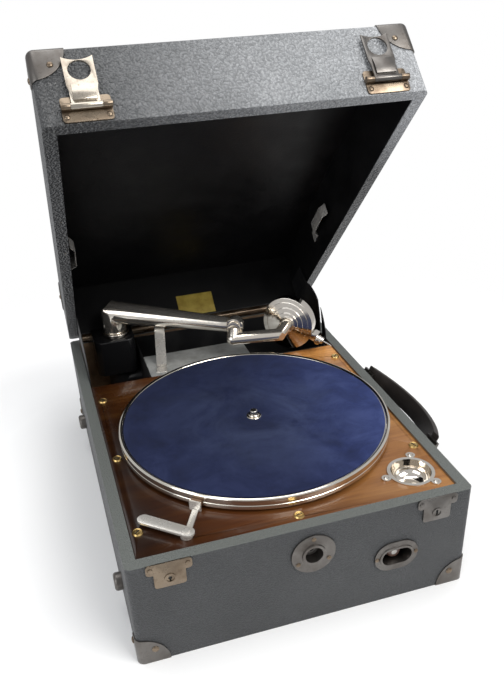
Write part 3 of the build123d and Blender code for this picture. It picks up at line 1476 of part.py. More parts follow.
# Sound box: a round shell open at the front, with a stepped back
box_plane = Plane(origin=box_centre, x_dir=tuple(box_side), z_dir=tuple(box_out))
half_deep = box_deep / 2
with BuildPart() as sound_box_shell:
    with BuildSketch(box_plane.offset(-half_deep)):
        Circle(box_radius)
        Circle(box_radius - 3.0, mode=Mode.SUBTRACT)
    extrude(amount=box_deep - 2.4)
    with BuildSketch(box_plane.offset(half_deep - 2.4)):
        Circle(box_radius)
    extrude(amount=1.4)
    for step_radius, step_top in ((24.5, 0.4), (18.5, 1.2), (13.0, 2.0), (9.0, 3.0)):
        with BuildSketch(box_plane.offset(half_deep - 2.4)):
            Circle(step_radius)
        extrude(amount=1.4 + step_top)
    with BuildSketch(box_plane.offset(half_deep - 2.4)):
        Circle(neck_radius - neck_wall)
    extrude(amount=8.0, mode=Mode.SUBTRACT)
    add(gooseneck.part, mode=Mode.SUBTRACT)
save(sound_box_shell.part, "sound_box_shell")

# Diaphragm in its gasket
with BuildPart() as diaphragm:
    with BuildSketch(box_plane.offset(-half_deep + 3.4)):
        Circle(box_radius - 3.0)
        Circle(box_radius - 6.0, mode=Mode.SUBTRACT)
    extrude(amount=3.0)
    with BuildSketch(box_plane.offset(-half_deep + 4.6)):
        Circle(box_radius - 5.8)
    extrude(amount=0.5)
    with BuildSketch(box_plane.offset(-half_deep + 3.2)):
        Circle(9.0)
    extrude(amount=1.5, taper=20)
save(diaphragm.part, "diaphragm")

# Stylus bar: from the diaphragm's middle over the rim to the needle chuck
drop = radians(chuck_drop)
bar_along = box_side * cos(drop) - box_up * sin(drop)
if bar_along.X < 0:
    bar_along = box_side * -cos(drop) - box_up * sin(drop)
bar_plane = Plane(origin=box_centre, x_dir=tuple(bar_along), z_dir=tuple(box_out))
with BuildPart() as stylus_bar:
    with BuildSketch(bar_plane.offset(-half_deep - 2.4)):
        with Locations((17.0, 0)):
            Rectangle(36.0, 3.2)
    extrude(amount=2.0)
    with BuildSketch(bar_plane.offset(-half_deep - 1.0)):
        Circle(1.4)
    extrude(amount=4.2)
    with BuildSketch(bar_plane.offset(-half_deep - 2.4)):
        with Locations((box_radius + 3.2, 0)):
            Rectangle(6.0, 8.0)
    extrude(amount=half_deep + 2.4 + chuck_radius)
    with BuildSketch(Plane(origin=box_centre + bar_along * (box_radius + 2.0), x_dir=tuple(box_out),
                           z_dir=tuple(bar_along))):
        Circle(chuck_radius)
    extrude(amount=chuck_reach - box_radius - 2.0)
    with BuildSketch(Plane(origin=box_centre + bar_along * chuck_reach, x_dir=tuple(box_out),
                           z_dir=tuple(bar_along))):
        Circle(needle_radius)
    extrude(amount=-(needle_length / 2), mode=Mode.SUBTRACT)
    screw_origin = box_centre + bar_along * (chuck_reach - 4.5)
    with BuildSketch(Plane(origin=screw_origin, z_dir=tuple(box_out))):
        Circle(1.2)
    extrude(amount=chuck_radius + 2.0, mode=Mode.SUBTRACT)
save(stylus_bar.part, "stylus_bar")

with BuildPart() as needle:
    with BuildSketch(Plane(origin=box_centre + bar_along * (chuck_reach - needle_length / 2),
                           x_dir=tuple(box_out), z_dir=tuple(bar_along))):
        Circle(needle_radius)
    extrude(amount=needle_length - 4.0)
    with BuildSketch(Plane(origin=box_centre + bar_along * (chuck_reach + needle_length / 2 - 4.0),
                           x_dir=tuple(box_out), z_dir=tuple(bar_along))):
        Circle(needle_radius)
    extrude(amount=4.0, taper=9.0)
save(needle.part, "needle")

with BuildPart() as needle_screw:
    with BuildSketch(Plane(origin=screw_origin + box_out * (needle_radius + 0.1), z_dir=tuple(box_out))):
        Circle(1.2 - running_fit)
    extrude(amount=chuck_radius + 1.0)
    with BuildSketch(Plane(origin=screw_origin + box_out * (chuck_radius + 0.6), z_dir=tuple(box_out))):
        Circle(3.2)
    extrude(amount=4.5)
save(needle_screw.part, "needle_screw")

# Crank put away in the case: a wooden grip in the oval hole on a steel rod with an offset
grip_front = front_face + grip_inset
grip_back = grip_front + grip_length
with BuildPart() as crank_grip:
    with BuildSketch(Plane.XZ.offset(-grip_back)):
        with Locations((stow_x, stow_z)):
            Circle(grip_radius)
    extrude(amount=grip_length)
    fillet(crank_grip.edges().group_by(Axis.Y)[0], radius=3.0)
    with BuildSketch(Plane.XZ.offset(-grip_back)):
        with Locations((stow_x, stow_z)):
            Circle(2.5)
    extrude(amount=grip_length, mode=Mode.SUBTRACT)
save(crank_grip.part, "crank_grip")

elbow_y = grip_back + 12.0
with BuildPart() as crank_rod:
    with BuildSketch(Plane.XZ.offset(-grip_back)):
        with Locations((stow_x, stow_z)):
            Circle(2.5)
    extrude(amount=grip_length)
    with BuildSketch(Plane.XZ.offset(-elbow_y)):
        with Locations((stow_x, stow_z)):
            Circle(crank_rod_radius)
    extrude(amount=elbow_y - grip_back)
    with Locations((stow_x, elbow_y, stow_z), (stow_x + crank_offset, elbow_y, stow_z)):
        Sphere(crank_rod_radius)
    with BuildSketch(Plane.YZ.offset(stow_x)):
        with Locations((elbow_y, stow_z)):
            Circle(crank_rod_radius)
    extrude(amount=crank_offset)
    with BuildSketch(Plane.XZ.offset(-elbow_y)):
        with Locations((stow_x + crank_offset, stow_z)):
            Circle(crank_rod_radius)
    extrude(amount=-(crank_rod_end - elbow_y))
save(crank_rod.part, "crank_rod")

# Cradle on the side wall that holds the crank's shaft
cradle_y = -46.0
with BuildPart() as crank_cradle:
    with BuildSketch(Plane.XZ.offset(-cradle_y)):
        with Locations(((stow_x + crank_offset + inner_side) / 2 - 3.5, stow_z)):
            Rectangle(inner_side - stow_x - crank_offset + 7.0, 16.0)
        with Locations((stow_x + crank_offset, stow_z)):
            Circle(crank_rod_radius + running_fit, mode=Mode.SUBTRACT)
    extrude(amount=12.0)
save(crank_cradle.part, "crank_cradle")

# Handle brackets on the right wall, each with an eye for the loop's pin
eye_x = case_width / 2 + bracket_plate + eye_radius
loop_spots = [handle_y - handle_span / 2, handle_y + handle_span / 2]
with BuildPart() as handle_brackets:
    for spot in loop_spots:
        with BuildSketch(Plane.YZ.offset(case_width / 2)):
            with Locations((spot, handle_z - 6.0)):
                RectangleRounded(bracket_wide, bracket_tall, 3.0)
        extrude(amount=bracket_plate)
        with BuildSketch(Plane.XZ.offset(-(spot + eye_length / 2))):
            with Locations((eye_x, handle_z)):
                Circle(eye_radius)
            with Locations((eye_x - eye_radius / 2, handle_z)):
                Rectangle(eye_radius, 2 * eye_radius)
        extrude(amount=eye_length)
        with BuildSketch(Plane.XZ.offset(-(spot + eye_length / 2))):
            with Locations((eye_x, handle_z)):
                Circle(eye_pin_radius + running_fit)
        extrude(amount=eye_length, mode=Mode.SUBTRACT)
        with BuildSketch(Plane.YZ.offset(case_width / 2 + bracket_plate)):
            with Locations((spot - 6.0, handle_z - 13.0), (spot + 6.0, handle_z - 13.0)):
                Circle(2.0)
        extrude(amount=1.0)
save(handle_brackets.part, "handle_brackets")

# Handle loops: a pin through each eye, two legs and a bar that the strap is stitched to
drop_turn = radians(handle_rest_drop)
handle_out = Vector(cos(drop_turn), 0, -sin(drop_turn))
handle_across = handle_out.cross(Vector(0, 1, 0))
leg_reach = eye_radius + 3.5
leg_at = eye_length / 2 + 0.4
with BuildPart() as handle_loops:
    for spot in loop_spots:
        with BuildSketch(Plane.XZ.offset(-(spot + leg_at + loop_leg))):
            with Locations((eye_x, handle_z)):
                Circle(eye_pin_radius)
        extrude(amount=2 * (leg_at + loop_leg))
        for end in (-1, 1):
            leg_origin = Vector(eye_x, spot + end * (leg_at + loop_leg / 2), handle_z)
            with BuildSketch(Plane(origin=leg_origin, x_dir=tuple(handle_out), z_dir=tuple(handle_across))):
                with Locations((leg_reach / 2 - 0.8, 0)):
                    Rectangle(leg_reach + 1.6, loop_leg)
            extrude(amount=1.6, both=True)
        bar_origin = Vector(eye_x, spot, handle_z) + handle_out * (leg_reach + 1.0)
        with BuildSketch(Plane(origin=bar_origin, x_dir=tuple(handle_out), z_dir=tuple(handle_across))):
            Rectangle(2.4, 2 * (leg_at + loop_leg))
        extrude(amount=4.0, both=True)
save(handle_loops.part, "handle_loops")

# Leather strap: an arch between the two loops
strap_start = leg_reach + 2.2
strap_plane = Plane(origin=(eye_x, handle_y, handle_z), x_dir=(0, 1, 0),
                    z_dir=tuple(handle_out.cross(Vector(0, 1, 0)) * -1))
flip = 1 if strap_plane.y_dir.dot(handle_out) > 0 else -1
half_span = handle_span / 2
with BuildPart() as handle_strap:
    with BuildSketch(strap_plane):
        with BuildLine():
            low = flip * strap_start
            peak = flip * (strap_start + handle_bulge)
            ThreePointArc((-half_span - handle_thick, low), (0, peak), (half_span + handle_thick, low))
            Line((half_span + handle_thick, low), (half_span - handle_thick, low))
            ThreePointArc((half_span - handle_thick, low), (0, peak - flip * handle_thick),
                          (-half_span + handle_thick, low))
            Line((-half_span + handle_thick, low), (-half_span - handle_thick, low))
        make_face()
    extrude(amount=handle_width / 2, both=True)
save(handle_strap.part, "handle_strap")
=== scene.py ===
import bpy
import math
from mathutils import Matrix, Vector


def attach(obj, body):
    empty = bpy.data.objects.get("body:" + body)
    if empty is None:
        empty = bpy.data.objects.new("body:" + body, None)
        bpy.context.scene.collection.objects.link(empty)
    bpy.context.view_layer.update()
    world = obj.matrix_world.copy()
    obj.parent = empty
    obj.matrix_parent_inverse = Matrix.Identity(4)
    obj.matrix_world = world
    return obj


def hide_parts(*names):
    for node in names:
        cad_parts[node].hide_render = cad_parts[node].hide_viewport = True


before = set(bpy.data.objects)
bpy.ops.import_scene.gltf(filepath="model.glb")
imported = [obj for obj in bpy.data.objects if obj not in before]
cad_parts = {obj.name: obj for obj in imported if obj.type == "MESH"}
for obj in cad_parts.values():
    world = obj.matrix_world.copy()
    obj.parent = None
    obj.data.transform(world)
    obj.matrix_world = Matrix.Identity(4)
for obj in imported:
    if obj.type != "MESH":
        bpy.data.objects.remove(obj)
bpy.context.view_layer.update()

# Base walls and floor: the wooden carcass that everything is fixed to.
# It is drawn first because every later piece sits in it or on it, and it is mostly
# hidden by the cloth, so only its inner faces and underside show the sawn wood.


def link(tree, a, b):
    tree.links.new(a, b)


def noise(tree, where, scale, detail=6.0, rough=0.6, stretch=(1, 1, 1), distortion=0.0):
    mapping = tree.nodes.new("ShaderNodeMapping")
    mapping.inputs["Scale"].default_value = stretch
    link(tree, where, mapping.inputs["Vector"])
    tex = tree.nodes.new("ShaderNodeTexNoise")
    tex.inputs["Scale"].default_value = scale
    tex.inputs["Detail"].default_value = detail
    tex.inputs["Roughness"].default_value = rough
    tex.inputs["Distortion"].default_value = distortion
    link(tree, mapping.outputs["Vector"], tex.inputs["Vector"])
    return tex.outputs["Fac"]


def ramp(tree, value, stops):
    node = tree.nodes.new("ShaderNodeValToRGB")
    node.color_ramp.elements[0].position = stops[0][0]
    node.color_ramp.elements[0].color = (*stops[0][1], 1)
    node.color_ramp.elements[1].position = stops[-1][0]
    node.color_ramp.elements[1].color = (*stops[-1][1], 1)
    for place, colour in stops[1:-1]:
        node.color_ramp.elements.new(place).color = (*colour, 1)
    link(tree, value, node.inputs["Fac"])
    return node.outputs["Color"]


def span(tree, value, low, high, from_low=0.3, from_high=0.7):
    node = tree.nodes.new("ShaderNodeMapRange")
    node.inputs["From Min"].default_value = from_low
    node.inputs["From Max"].default_value = from_high
    node.inputs["To Min"].default_value = low
    node.inputs["To Max"].default_value = high
    link(tree, value, node.inputs["Value"])
    return node.outputs["Result"]


def blend_colour(tree, share, a, b):
    node = tree.nodes.new("ShaderNodeMix")
    node.data_type = "RGBA"
    for socket, value in ((node.inputs[6], a), (node.inputs[7], b)):
        if isinstance(value, tuple):
            socket.default_value = (*value, 1)
        else:
            link(tree, value, socket)
    link(tree, share, node.inputs[0])
    return node.outputs[2]


def bump(tree, height, strength, distance, under=None):
    node = tree.nodes.new("ShaderNodeBump")
    node.inputs["Strength"].default_value = strength
    node.inputs["Distance"].default_value = distance
    link(tree, height, node.inputs["Height"])
    if under is not None:
        link(tree, under, node.inputs["Normal"])
    return node.outputs["Normal"]


def start(name, metal=0.0, rough=0.5):
    made = bpy.data.materials.new(name)
    made.use_nodes = True
    tree = made.node_tree
    bsdf = tree.nodes["Principled BSDF"]
    bsdf.inputs["Metallic"].default_value = metal
    bsdf.inputs["Roughness"].default_value = rough
    where = tree.nodes.new("ShaderNodeTexCoord").outputs["Object"]
    return made, tree, bsdf, where


def wood(name, dark, light, stretch, rough=(0.5, 0.7), coat=0.0, grain=70.0):
    made, tree, bsdf, where = start(name)
    streaks = noise(tree, where, grain, 9.0, 0.62, stretch, 0.6)
    clouds = noise(tree, where, 9.0, 4.0, 0.5)
    pores = noise(tree, where, grain * 9, 3.0, 0.7, stretch)
    colour = ramp(tree, streaks, [(0.34, dark), (0.66, light)])
    shade = tuple(0.55 * c for c in dark)
    colour = blend_colour(tree, span(tree, clouds, 0.0, 0.4), colour, shade)
    colour = blend_colour(tree, span(tree, pores, 0.0, 0.35, 0.55, 0.75), colour, shade)
    link(tree, colour, bsdf.inputs["Base Color"])
    link(tree, span(tree, clouds, rough[0], rough[1]), bsdf.inputs["Roughness"])
    bsdf.inputs["Coat Weight"].default_value = coat
    bsdf.inputs["Coat Roughness"].default_value = 0.12
    link(tree, bump(tree, pores, 0.25, 0.0003), bsdf.inputs["Normal"])
    return made


def metal(name, bright, stain, rough=(0.08, 0.3), stained=0.5, grain=0.0, dents=0.02):
    made, tree, bsdf, where = start(name, 1.0)
    patches = noise(tree, where, 38.0, 8.0, 0.65)
    specks = noise(tree, where, 420.0, 4.0, 0.7)
    share = span(tree, patches, 0.0, stained, 0.45, 0.75)
    colour = blend_colour(tree, share, bright, stain)
    colour = blend_colour(tree, span(tree, specks, 0.0, 0.8 * stained, 0.6, 0.72), colour, stain)
    link(tree, colour, bsdf.inputs["Base Color"])
    link(tree, span(tree, patches, rough[0], rough[1], 0.35, 0.75), bsdf.inputs["Roughness"])
    waves = bump(tree, noise(tree, where, 60.0, 2.0), dents, 0.002)
    if grain > 0:
        fine = noise(tree, where, 900.0, 2.0, 0.5, (1, 1, 0.03))
        waves = bump(tree, fine, grain, 0.0002, waves)
    link(tree, waves, bsdf.inputs["Normal"])
    return made


def paint(name, colour, worn, rough=(0.25, 0.5), grain=(900.0, 0.06)):
    made, tree, bsdf, where = start(name)
    patches = noise(tree, where, 30.0, 7.0, 0.6)
    dust = noise(tree, where, 260.0, 5.0, 0.7)
    mixed = blend_colour(tree, span(tree, patches, 0.0, 0.55, 0.5, 0.8), colour, worn)
    mixed = blend_colour(tree, span(tree, dust, 0.0, 0.5, 0.6, 0.78), mixed, worn)
    link(tree, mixed, bsdf.inputs["Base Color"])
    link(tree, span(tree, patches, rough[0], rough[1]), bsdf.inputs["Roughness"])
    fine = noise(tree, where, grain[0], 3.0, 0.6)
    link(tree, bump(tree, fine, grain[1], 0.0006), bsdf.inputs["Normal"])
    return made


def smoothing():
    """A node group that welds the mesh and shades it smooth except at sharp edges."""
    group = bpy.data.node_groups.new("weld_and_smooth", "GeometryNodeTree")
    group.interface.new_socket("Geometry", in_out="INPUT", socket_type="NodeSocketGeometry")
    group.interface.new_socket("Geometry", in_out="OUTPUT", socket_type="NodeSocketGeometry")
    inside = group.nodes.new("NodeGroupInput")
    weld = group.nodes.new("GeometryNodeMergeByDistance")
    weld.inputs["Distance"].default_value = 0.000002
    soft = group.nodes.new("GeometryNodeSetShadeSmooth")
    soft.domain = "FACE"
    soft.inputs["Shade Smooth"].default_value = True
    angle = group.nodes.new("GeometryNodeInputMeshEdgeAngle")
    sharp = group.nodes.new("FunctionNodeCompare")
    sharp.data_type = "FLOAT"
    sharp.operation = "GREATER_THAN"
    sharp.inputs[1].default_value = math.radians(32)
    hard = group.nodes.new("GeometryNodeSetShadeSmooth")
    hard.domain = "EDGE"
    hard.inputs["Shade Smooth"].default_value = False
    outside = group.nodes.new("NodeGroupOutput")
    link(group, inside.outputs[0], weld.inputs["Geometry"])
    link(group, weld.outputs["Geometry"], soft.inputs["Geometry"])
    link(group, soft.outputs["Geometry"], hard.inputs["Geometry"])
    link(group, angle.outputs["Unsigned Angle"], sharp.inputs[0])
    link(group, sharp.outputs["Result"], hard.inputs["Selection"])
    link(group, hard.outputs["Geometry"], outside.inputs[0])
    return group


smooth_group = smoothing()


def dress(node, material, bevel=0.0):
    """Gives a CAD node its material, a small bevel on its sharp edges and smooth shading."""
    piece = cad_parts[node]
    piece.data.materials.clear()
    piece.data.materials.append(material)
    for name in ("custom_normal", "sharp_edge", "sharp_face"):
        if name in piece.data.attributes:
            piece.data.attributes.remove(piece.data.attributes[name])
    if bevel > 0:
        weld = piece.modifiers.new("weld", "WELD")
        weld.merge_threshold = 0.000002
        edge = piece.modifiers.new("bevel", "BEVEL")
        edge.width = bevel
        edge.segments = 2
        edge.limit_method = "ANGLE"
        edge.angle_limit = math.radians(40)
        edge.use_clamp_overlap = True
    soft = piece.modifiers.new("smooth", "NODES")
    soft.node_group = smooth_group
    return piece


sawn = wood("sawn wood", (0.16, 0.10, 0.06), (0.34, 0.23, 0.14), (1, 0.12, 1))
board = wood("thin board", (0.20, 0.14, 0.09), (0.42, 0.31, 0.20), (0.12, 1, 1))
dress("base_carcass", sawn)
dress("base_floor", board)
dress("crank_cradle", sawn, 0.0006)

# Base covering: pebbled black book cloth glued round the walls and over the rim.
# The grain is finer and flatter here than on the lid, and the rim's top edge has
# rubbed to a grey green, as the photo shows.


def bookcloth(name, dark, light, grain, deep, rough, rub=None, painted_glare=None):
    made, tree, bsdf, where = start(name)
    cells = tree.nodes.new("ShaderNodeTexVoronoi")
    cells.feature = "SMOOTH_F1"
    cells.inputs["Scale"].default_value = grain
    cells.inputs["Smoothness"].default_value = 0.6
    warp = tree.nodes.new("ShaderNodeVectorMath")
    warp.operation = "ADD"
    shift = tree.nodes.new("ShaderNodeTexNoise")
    shift.inputs["Scale"].default_value = grain * 0.6
    soft = tree.nodes.new("ShaderNodeVectorMath")
    soft.operation = "SCALE"
    soft.inputs["Scale"].default_value = 0.9 / grain
    link(tree, where, shift.inputs["Vector"])
    link(tree, shift.outputs["Color"], soft.inputs[0])
    link(tree, where, warp.inputs[0])
    link(tree, soft.outputs[0], warp.inputs[1])
    link(tree, warp.outputs[0], cells.inputs["Vector"])
    patches = noise(tree, where, 12.0, 7.0, 0.6)
    fine = noise(tree, where, grain * 3.0, 3.0, 0.6)
    colour = blend_colour(tree, span(tree, patches, 0.0, 1.0), dark, light)
    lows = tuple(0.45 * c for c in dark)
    colour = blend_colour(tree, span(tree, cells.outputs["Distance"], 0.0, 0.55, 0.25, 0.6), colour, lows)
    if rub is not None:
        split = tree.nodes.new("ShaderNodeSeparateXYZ")
        link(tree, where, split.inputs[0])
        high = span(tree, split.outputs["Z"], 0.0, 0.85, 0.1012, 0.1018)
        colour = blend_colour(tree, high, colour, rub)
    # Painted highlight: on the upper part the colour is scaled up from left to right.
    if painted_glare is not None:
        ends = tree.nodes.new("ShaderNodeSeparateXYZ")
        link(tree, where, ends.inputs[0])
        scale = tree.nodes.new("ShaderNodeVectorMath")
        scale.operation = "SCALE"
        link(tree, colour, scale.inputs[0])
        upper = tree.nodes.new("ShaderNodeMix")
        upper.inputs[2].default_value = 1.0
        link(tree, span(tree, ends.outputs["Z"], 0.0, 1.0, 0.31, 0.37), upper.inputs[0])
        link(tree, span(tree, ends.outputs["X"], painted_glare[0], painted_glare[1], -0.12, 0.14), upper.inputs[3])
        link(tree, upper.outputs[0], scale.inputs["Scale"])
        colour = scale.outputs[0]
    link(tree, colour, bsdf.inputs["Base Color"])
    link(tree, span(tree, patches, rough[0], rough[1]), bsdf.inputs["Roughness"])
    flat = bump(tree, fine, 0.12, 0.0003)
    link(tree, bump(tree, cells.outputs["Distance"], deep, 0.0016, flat), bsdf.inputs["Normal"])
    bsdf.inputs["Specular IOR Level"].default_value = 0.5
    return made


base_cloth = bookcloth("base book cloth", (0.040, 0.042, 0.045), (0.072, 0.075, 0.079), 900.0, 0.55,
                       (0.40, 0.55), rub=(0.13, 0.14, 0.13))
dress("base_covering", base_cloth)

# Deck board: french polished mahogany with the grain running from side to side.
# It sits on the battens, its edge just inside the walls, and turns paler and more orange
# towards the right, partly faded polish and partly painted light. Its colour is also
# scaled brighter towards the right and the back, which is painted light.
deck_wood, deck_tree, deck_bsdf, deck_where = start("polished mahogany")
deck_streaks = noise(deck_tree, deck_where, 55.0, 10.0, 0.65, (0.10, 1, 1), 0.9)
deck_fibre = noise(deck_tree, deck_where, 520.0, 4.0, 0.7, (0.05, 1, 1))
deck_clouds = noise(deck_tree, deck_where, 7.0, 4.0, 0.55)
deck_red = ramp(deck_tree, deck_streaks, [(0.30, (0.085, 0.022, 0.008)), (0.52, (0.20, 0.064, 0.016)),
                                          (0.72, (0.33, 0.130, 0.030))])
deck_pale_faded_and_lit = ramp(deck_tree, deck_streaks, [(0.30, (0.24, 0.095, 0.022)), (0.70, (0.52, 0.26, 0.075))])
deck_axes = deck_tree.nodes.new("ShaderNodeSeparateXYZ")
link(deck_tree, deck_where, deck_axes.inputs[0])
# Paler, more orange towards the right: partly faded polish, partly painted light from the right.
deck_faded_and_lit_side = span(deck_tree, deck_axes.outputs["X"], 0.0, 0.9, -0.05, 0.14)
deck_colour = blend_colour(deck_tree, deck_faded_and_lit_side, deck_red, deck_pale_faded_and_lit)
deck_shade = span(deck_tree, deck_clouds, 0.0, 0.5)
deck_colour = blend_colour(deck_tree, deck_shade, deck_colour, (0.07, 0.02, 0.008))
deck_colour = blend_colour(deck_tree, span(deck_tree, deck_fibre, 0.0, 0.5, 0.55, 0.75), deck_colour,
                           (0.05, 0.015, 0.006))
# Painted light: the colour is scaled from dark at the front left to bright at the back right.
deck_painted_light = deck_tree.nodes.new("ShaderNodeMath")
deck_painted_light.operation = "MULTIPLY"
link(deck_tree, span(deck_tree, deck_axes.outputs["X"], 0.13, 1.25, -0.125, 0.13), deck_painted_light.inputs[0])
link(deck_tree, span(deck_tree, deck_axes.outputs["Y"], 1.0, 1.7, -0.02, 0.08), deck_painted_light.inputs[1])
deck_painted_light_colour = deck_tree.nodes.new("ShaderNodeVectorMath")
deck_painted_light_colour.operation = "SCALE"
link(deck_tree, deck_colour, deck_painted_light_colour.inputs[0])
link(deck_tree, deck_painted_light.outputs[0], deck_painted_light_colour.inputs["Scale"])
link(deck_tree, deck_painted_light_colour.outputs[0], deck_bsdf.inputs["Base Color"])
link(deck_tree, span(deck_tree, deck_clouds, 0.22, 0.40), deck_bsdf.inputs["Roughness"])
deck_bsdf.inputs["Specular IOR Level"].default_value = 0.3
deck_bsdf.inputs["Coat Weight"].default_value = 0.25
deck_bsdf.inputs["Coat Roughness"].default_value = 0.08
link(deck_tree, bump(deck_tree, deck_fibre, 0.10, 0.0003), deck_bsdf.inputs["Normal"])
dress("deck_board", deck_wood, 0.0005)

# Deck screws: brass screws in cup washers round the turntable, driven into the battens.
# Their slots are shown by near-black blocks laid across the heads, which is painted shade, and stand at odd
# angles.
brass = metal("dull brass", (0.62, 0.43, 0.17), (0.20, 0.11, 0.04), (0.22, 0.45), 0.6)
dress("deck_screws", brass)


def merged(name, verts, faces, material, body, bevel=0.0, smooth=True):
    mesh = bpy.data.meshes.new(name)
    mesh.from_pydata([tuple(v) for v in verts], [], faces)
    mesh.validate()
    mesh.materials.append(material)
    piece = bpy.data.objects.new(name, mesh)
    bpy.context.scene.collection.objects.link(piece)
    if bevel > 0:
        edge = piece.modifiers.new("bevel", "BEVEL")
        edge.width = bevel
        edge.segments = 3
        edge.limit_method = "ANGLE"
        edge.angle_limit = math.radians(40)
    if smooth:
        soft = piece.modifiers.new("smooth", "NODES")
        soft.node_group = smooth_group
    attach(piece, body)
    return piece


def place(at, out):
    """A matrix whose local Z points along out, at the place at."""
    out = Vector(out).normalized()
    return Matrix.Translation(Vector(at)) @ out.to_track_quat("Z", "Y").to_matrix().to_4x4()


def lathe_mesh(profile, matrix, steps=48):
    """Vertices and faces of a profile of (radius, height) turned about the matrix's Z axis."""
    verts = []
    faces = []
    for k in range(steps):
        turn = 2 * math.pi * k / steps
        for radius, height in profile:
            verts.append(matrix @ Vector((radius * math.cos(turn), radius * math.sin(turn), height)))
    n = len(profile)
    for k in range(steps):
        for i in range(n - 1):
            a = k * n + i
            b = ((k + 1) % steps) * n + i
            faces.append((a, b, b + 1, a + 1))
    return verts, faces


def gather(name, parts, material, body, bevel=0.0):
    verts = []
    faces = []
    for more, those in parts:
        base = len(verts)
        verts += more
        faces += [tuple(i + base for i in face) for face in those]
    return merged(name, verts, faces, material, body, bevel)


def block_mesh(matrix, sx, sy, sz):
    """A box sx by sy by sz, centred on the matrix's origin."""
    verts = [matrix @ Vector((x * sx / 2, y * sy / 2, z * sz / 2))
             for x in (-1, 1) for y in (-1, 1) for z in (-1, 1)]
    faces = [(0, 1, 3, 2), (4, 6, 7, 5), (0, 4, 5, 1), (2, 3, 7, 6), (0, 2, 6, 4), (1, 5, 7, 3)]
    return verts, faces


def dome_profile(radius, tall, steps=7):
    ring = [(radius, -0.0002), (radius, 0.12 * tall)]
    for i in range(1, steps + 1):
        turn = math.pi / 2 * i / steps
        reach = radius * math.cos(turn) if i < steps else 0.00001
        ring.append((reach, tall * (0.12 + 0.88 * math.sin(turn))))
    return ring


deck_spots = [(-0.129, -0.159), (-0.129, -0.053), (-0.1275, 0.054), (-0.0015, -0.1825), (0.130, -0.126),
              (0.130, 0.058)]
screw_head_z = 0.10105
# Painted shade: each slot is a thin near-black block laid across a screw head.
slot_painted_shade, slots_tree, slots_bsdf, slots_where = start("painted slot shade", 0.0, 0.7)
link(slots_tree, ramp(slots_tree, noise(slots_tree, slots_where, 300.0), [(0.3, (0.01, 0.008, 0.006)),
                                                                         (0.7, (0.04, 0.03, 0.02))]),
     slots_bsdf.inputs["Base Color"])
parts = []
for k, (x, y) in enumerate(deck_spots):
    turned = Matrix.Translation((x, y, screw_head_z)) @ Matrix.Rotation(0.7 + 1.9 * k, 4, "Z")
    parts.append(block_mesh(turned, 0.0046, 0.0007, 0.0004))
gather("deck_screw_slots", parts, slot_painted_shade, "case")

# Needle bowl: a nickel-plated cup spun from sheet and let into the deck.
# Three screwed lugs on its flange hold it.
nickel = metal("bright nickel", (0.80, 0.75, 0.68), (0.42, 0.33, 0.24), (0.05, 0.20), 0.35)
dress("needle_bowl", nickel)

# Folded horn and its throat: black sheet metal behind the deck, with a bright
# galvanised sheet over the front of its mouth.
black_sheet = paint("black sheet", (0.012, 0.012, 0.013), (0.05, 0.047, 0.043), (0.35, 0.6))
dress("horn_body", black_sheet)
dress("horn_throat", black_sheet)
zinc = metal("galvanised sheet", (0.52, 0.53, 0.52), (0.20, 0.19, 0.17), (0.28, 0.55), 0.8)
zinc.node_tree.nodes["Principled BSDF"].inputs["Metallic"].default_value = 0.45
dress("horn_top", zinc, 0.0002)

# Motor plates: two pressed steel plates on pillars, which carry all the motor's shafts.
# They hang from the deck on bolts with rubber bushes.
steel = metal("machined steel", (0.50, 0.49, 0.47), (0.20, 0.17, 0.13), (0.22, 0.42), 0.5, 0.2)
for node in ("motor_top_plate", "motor_bottom_plate"):
    dress(node, steel, 0.0003)
rubber = paint("rubber", (0.02, 0.02, 0.02), (0.07, 0.065, 0.06), (0.6, 0.8))
dress("motor_mounts", rubber)

# Spring barrel: a turned brass drum with the mainspring coiled inside it.
# The steel arbor through its middle winds the spring by a bevel wheel.
dress("spring_barrel", brass, 0.0002)
blue_steel = metal("spring steel", (0.20, 0.21, 0.25), (0.10, 0.08, 0.07), (0.25, 0.4), 0.5)
dress("mainspring", blue_steel)
dress("winding_arbor", steel)

# Winding shaft: a turned steel rod from the crank's hole to the arbor.
# Its bevel pinion is one piece with it.
dress("winding_shaft", steel)

# Governor: a steel worm shaft with a brake disc, driven by the spindle's worm wheel.
# Three brass weights on leaf springs turn with it.
dress("governor_shaft", steel)
dress("governor_weights", brass, 0.0003)

# Speed regulator: a small nickel knob turned from bar, at the back of the deck.
# An arm on its shaft below the deck reaches the governor's disc.
dress("speed_knob", nickel, 0.0003)

# Turntable: a pressed steel plate with a rolled and nickel-plated rim.
# It is turned here as one smooth profile, with the fine groove below the rim's bead.
table_x, table_y = 0.0035, -0.046
rim = [(0.0042, 0.1030), (0.0120, 0.1030), (0.0120, 0.1107), (0.1254, 0.1107), (0.1254, 0.1034),
       (0.1260, 0.1029), (0.1269, 0.1030), (0.1271, 0.1040), (0.1268, 0.1062), (0.1264, 0.1066),
       (0.1268, 0.1070), (0.1272, 0.1105), (0.1272, 0.1122), (0.1266, 0.1131), (0.1256, 0.1135),
       (0.1246, 0.1133), (0.1238, 0.1126), (0.1235, 0.1120), (0.0070, 0.1120), (0.0070, 0.1130),
       (0.0066, 0.1134), (0.0056, 0.1134), (0.0052, 0.1131), (0.0042, 0.1131)]
rim_nickel = metal("worn rim nickel", (0.82, 0.78, 0.70), (0.48, 0.39, 0.28), (0.08, 0.26), 0.5)
parts = [lathe_mesh(rim, Matrix.Translation((table_x, table_y, 0)), 240)]
turning = gather("turntable_plate", parts, rim_nickel, "turntable")
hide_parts("platter")

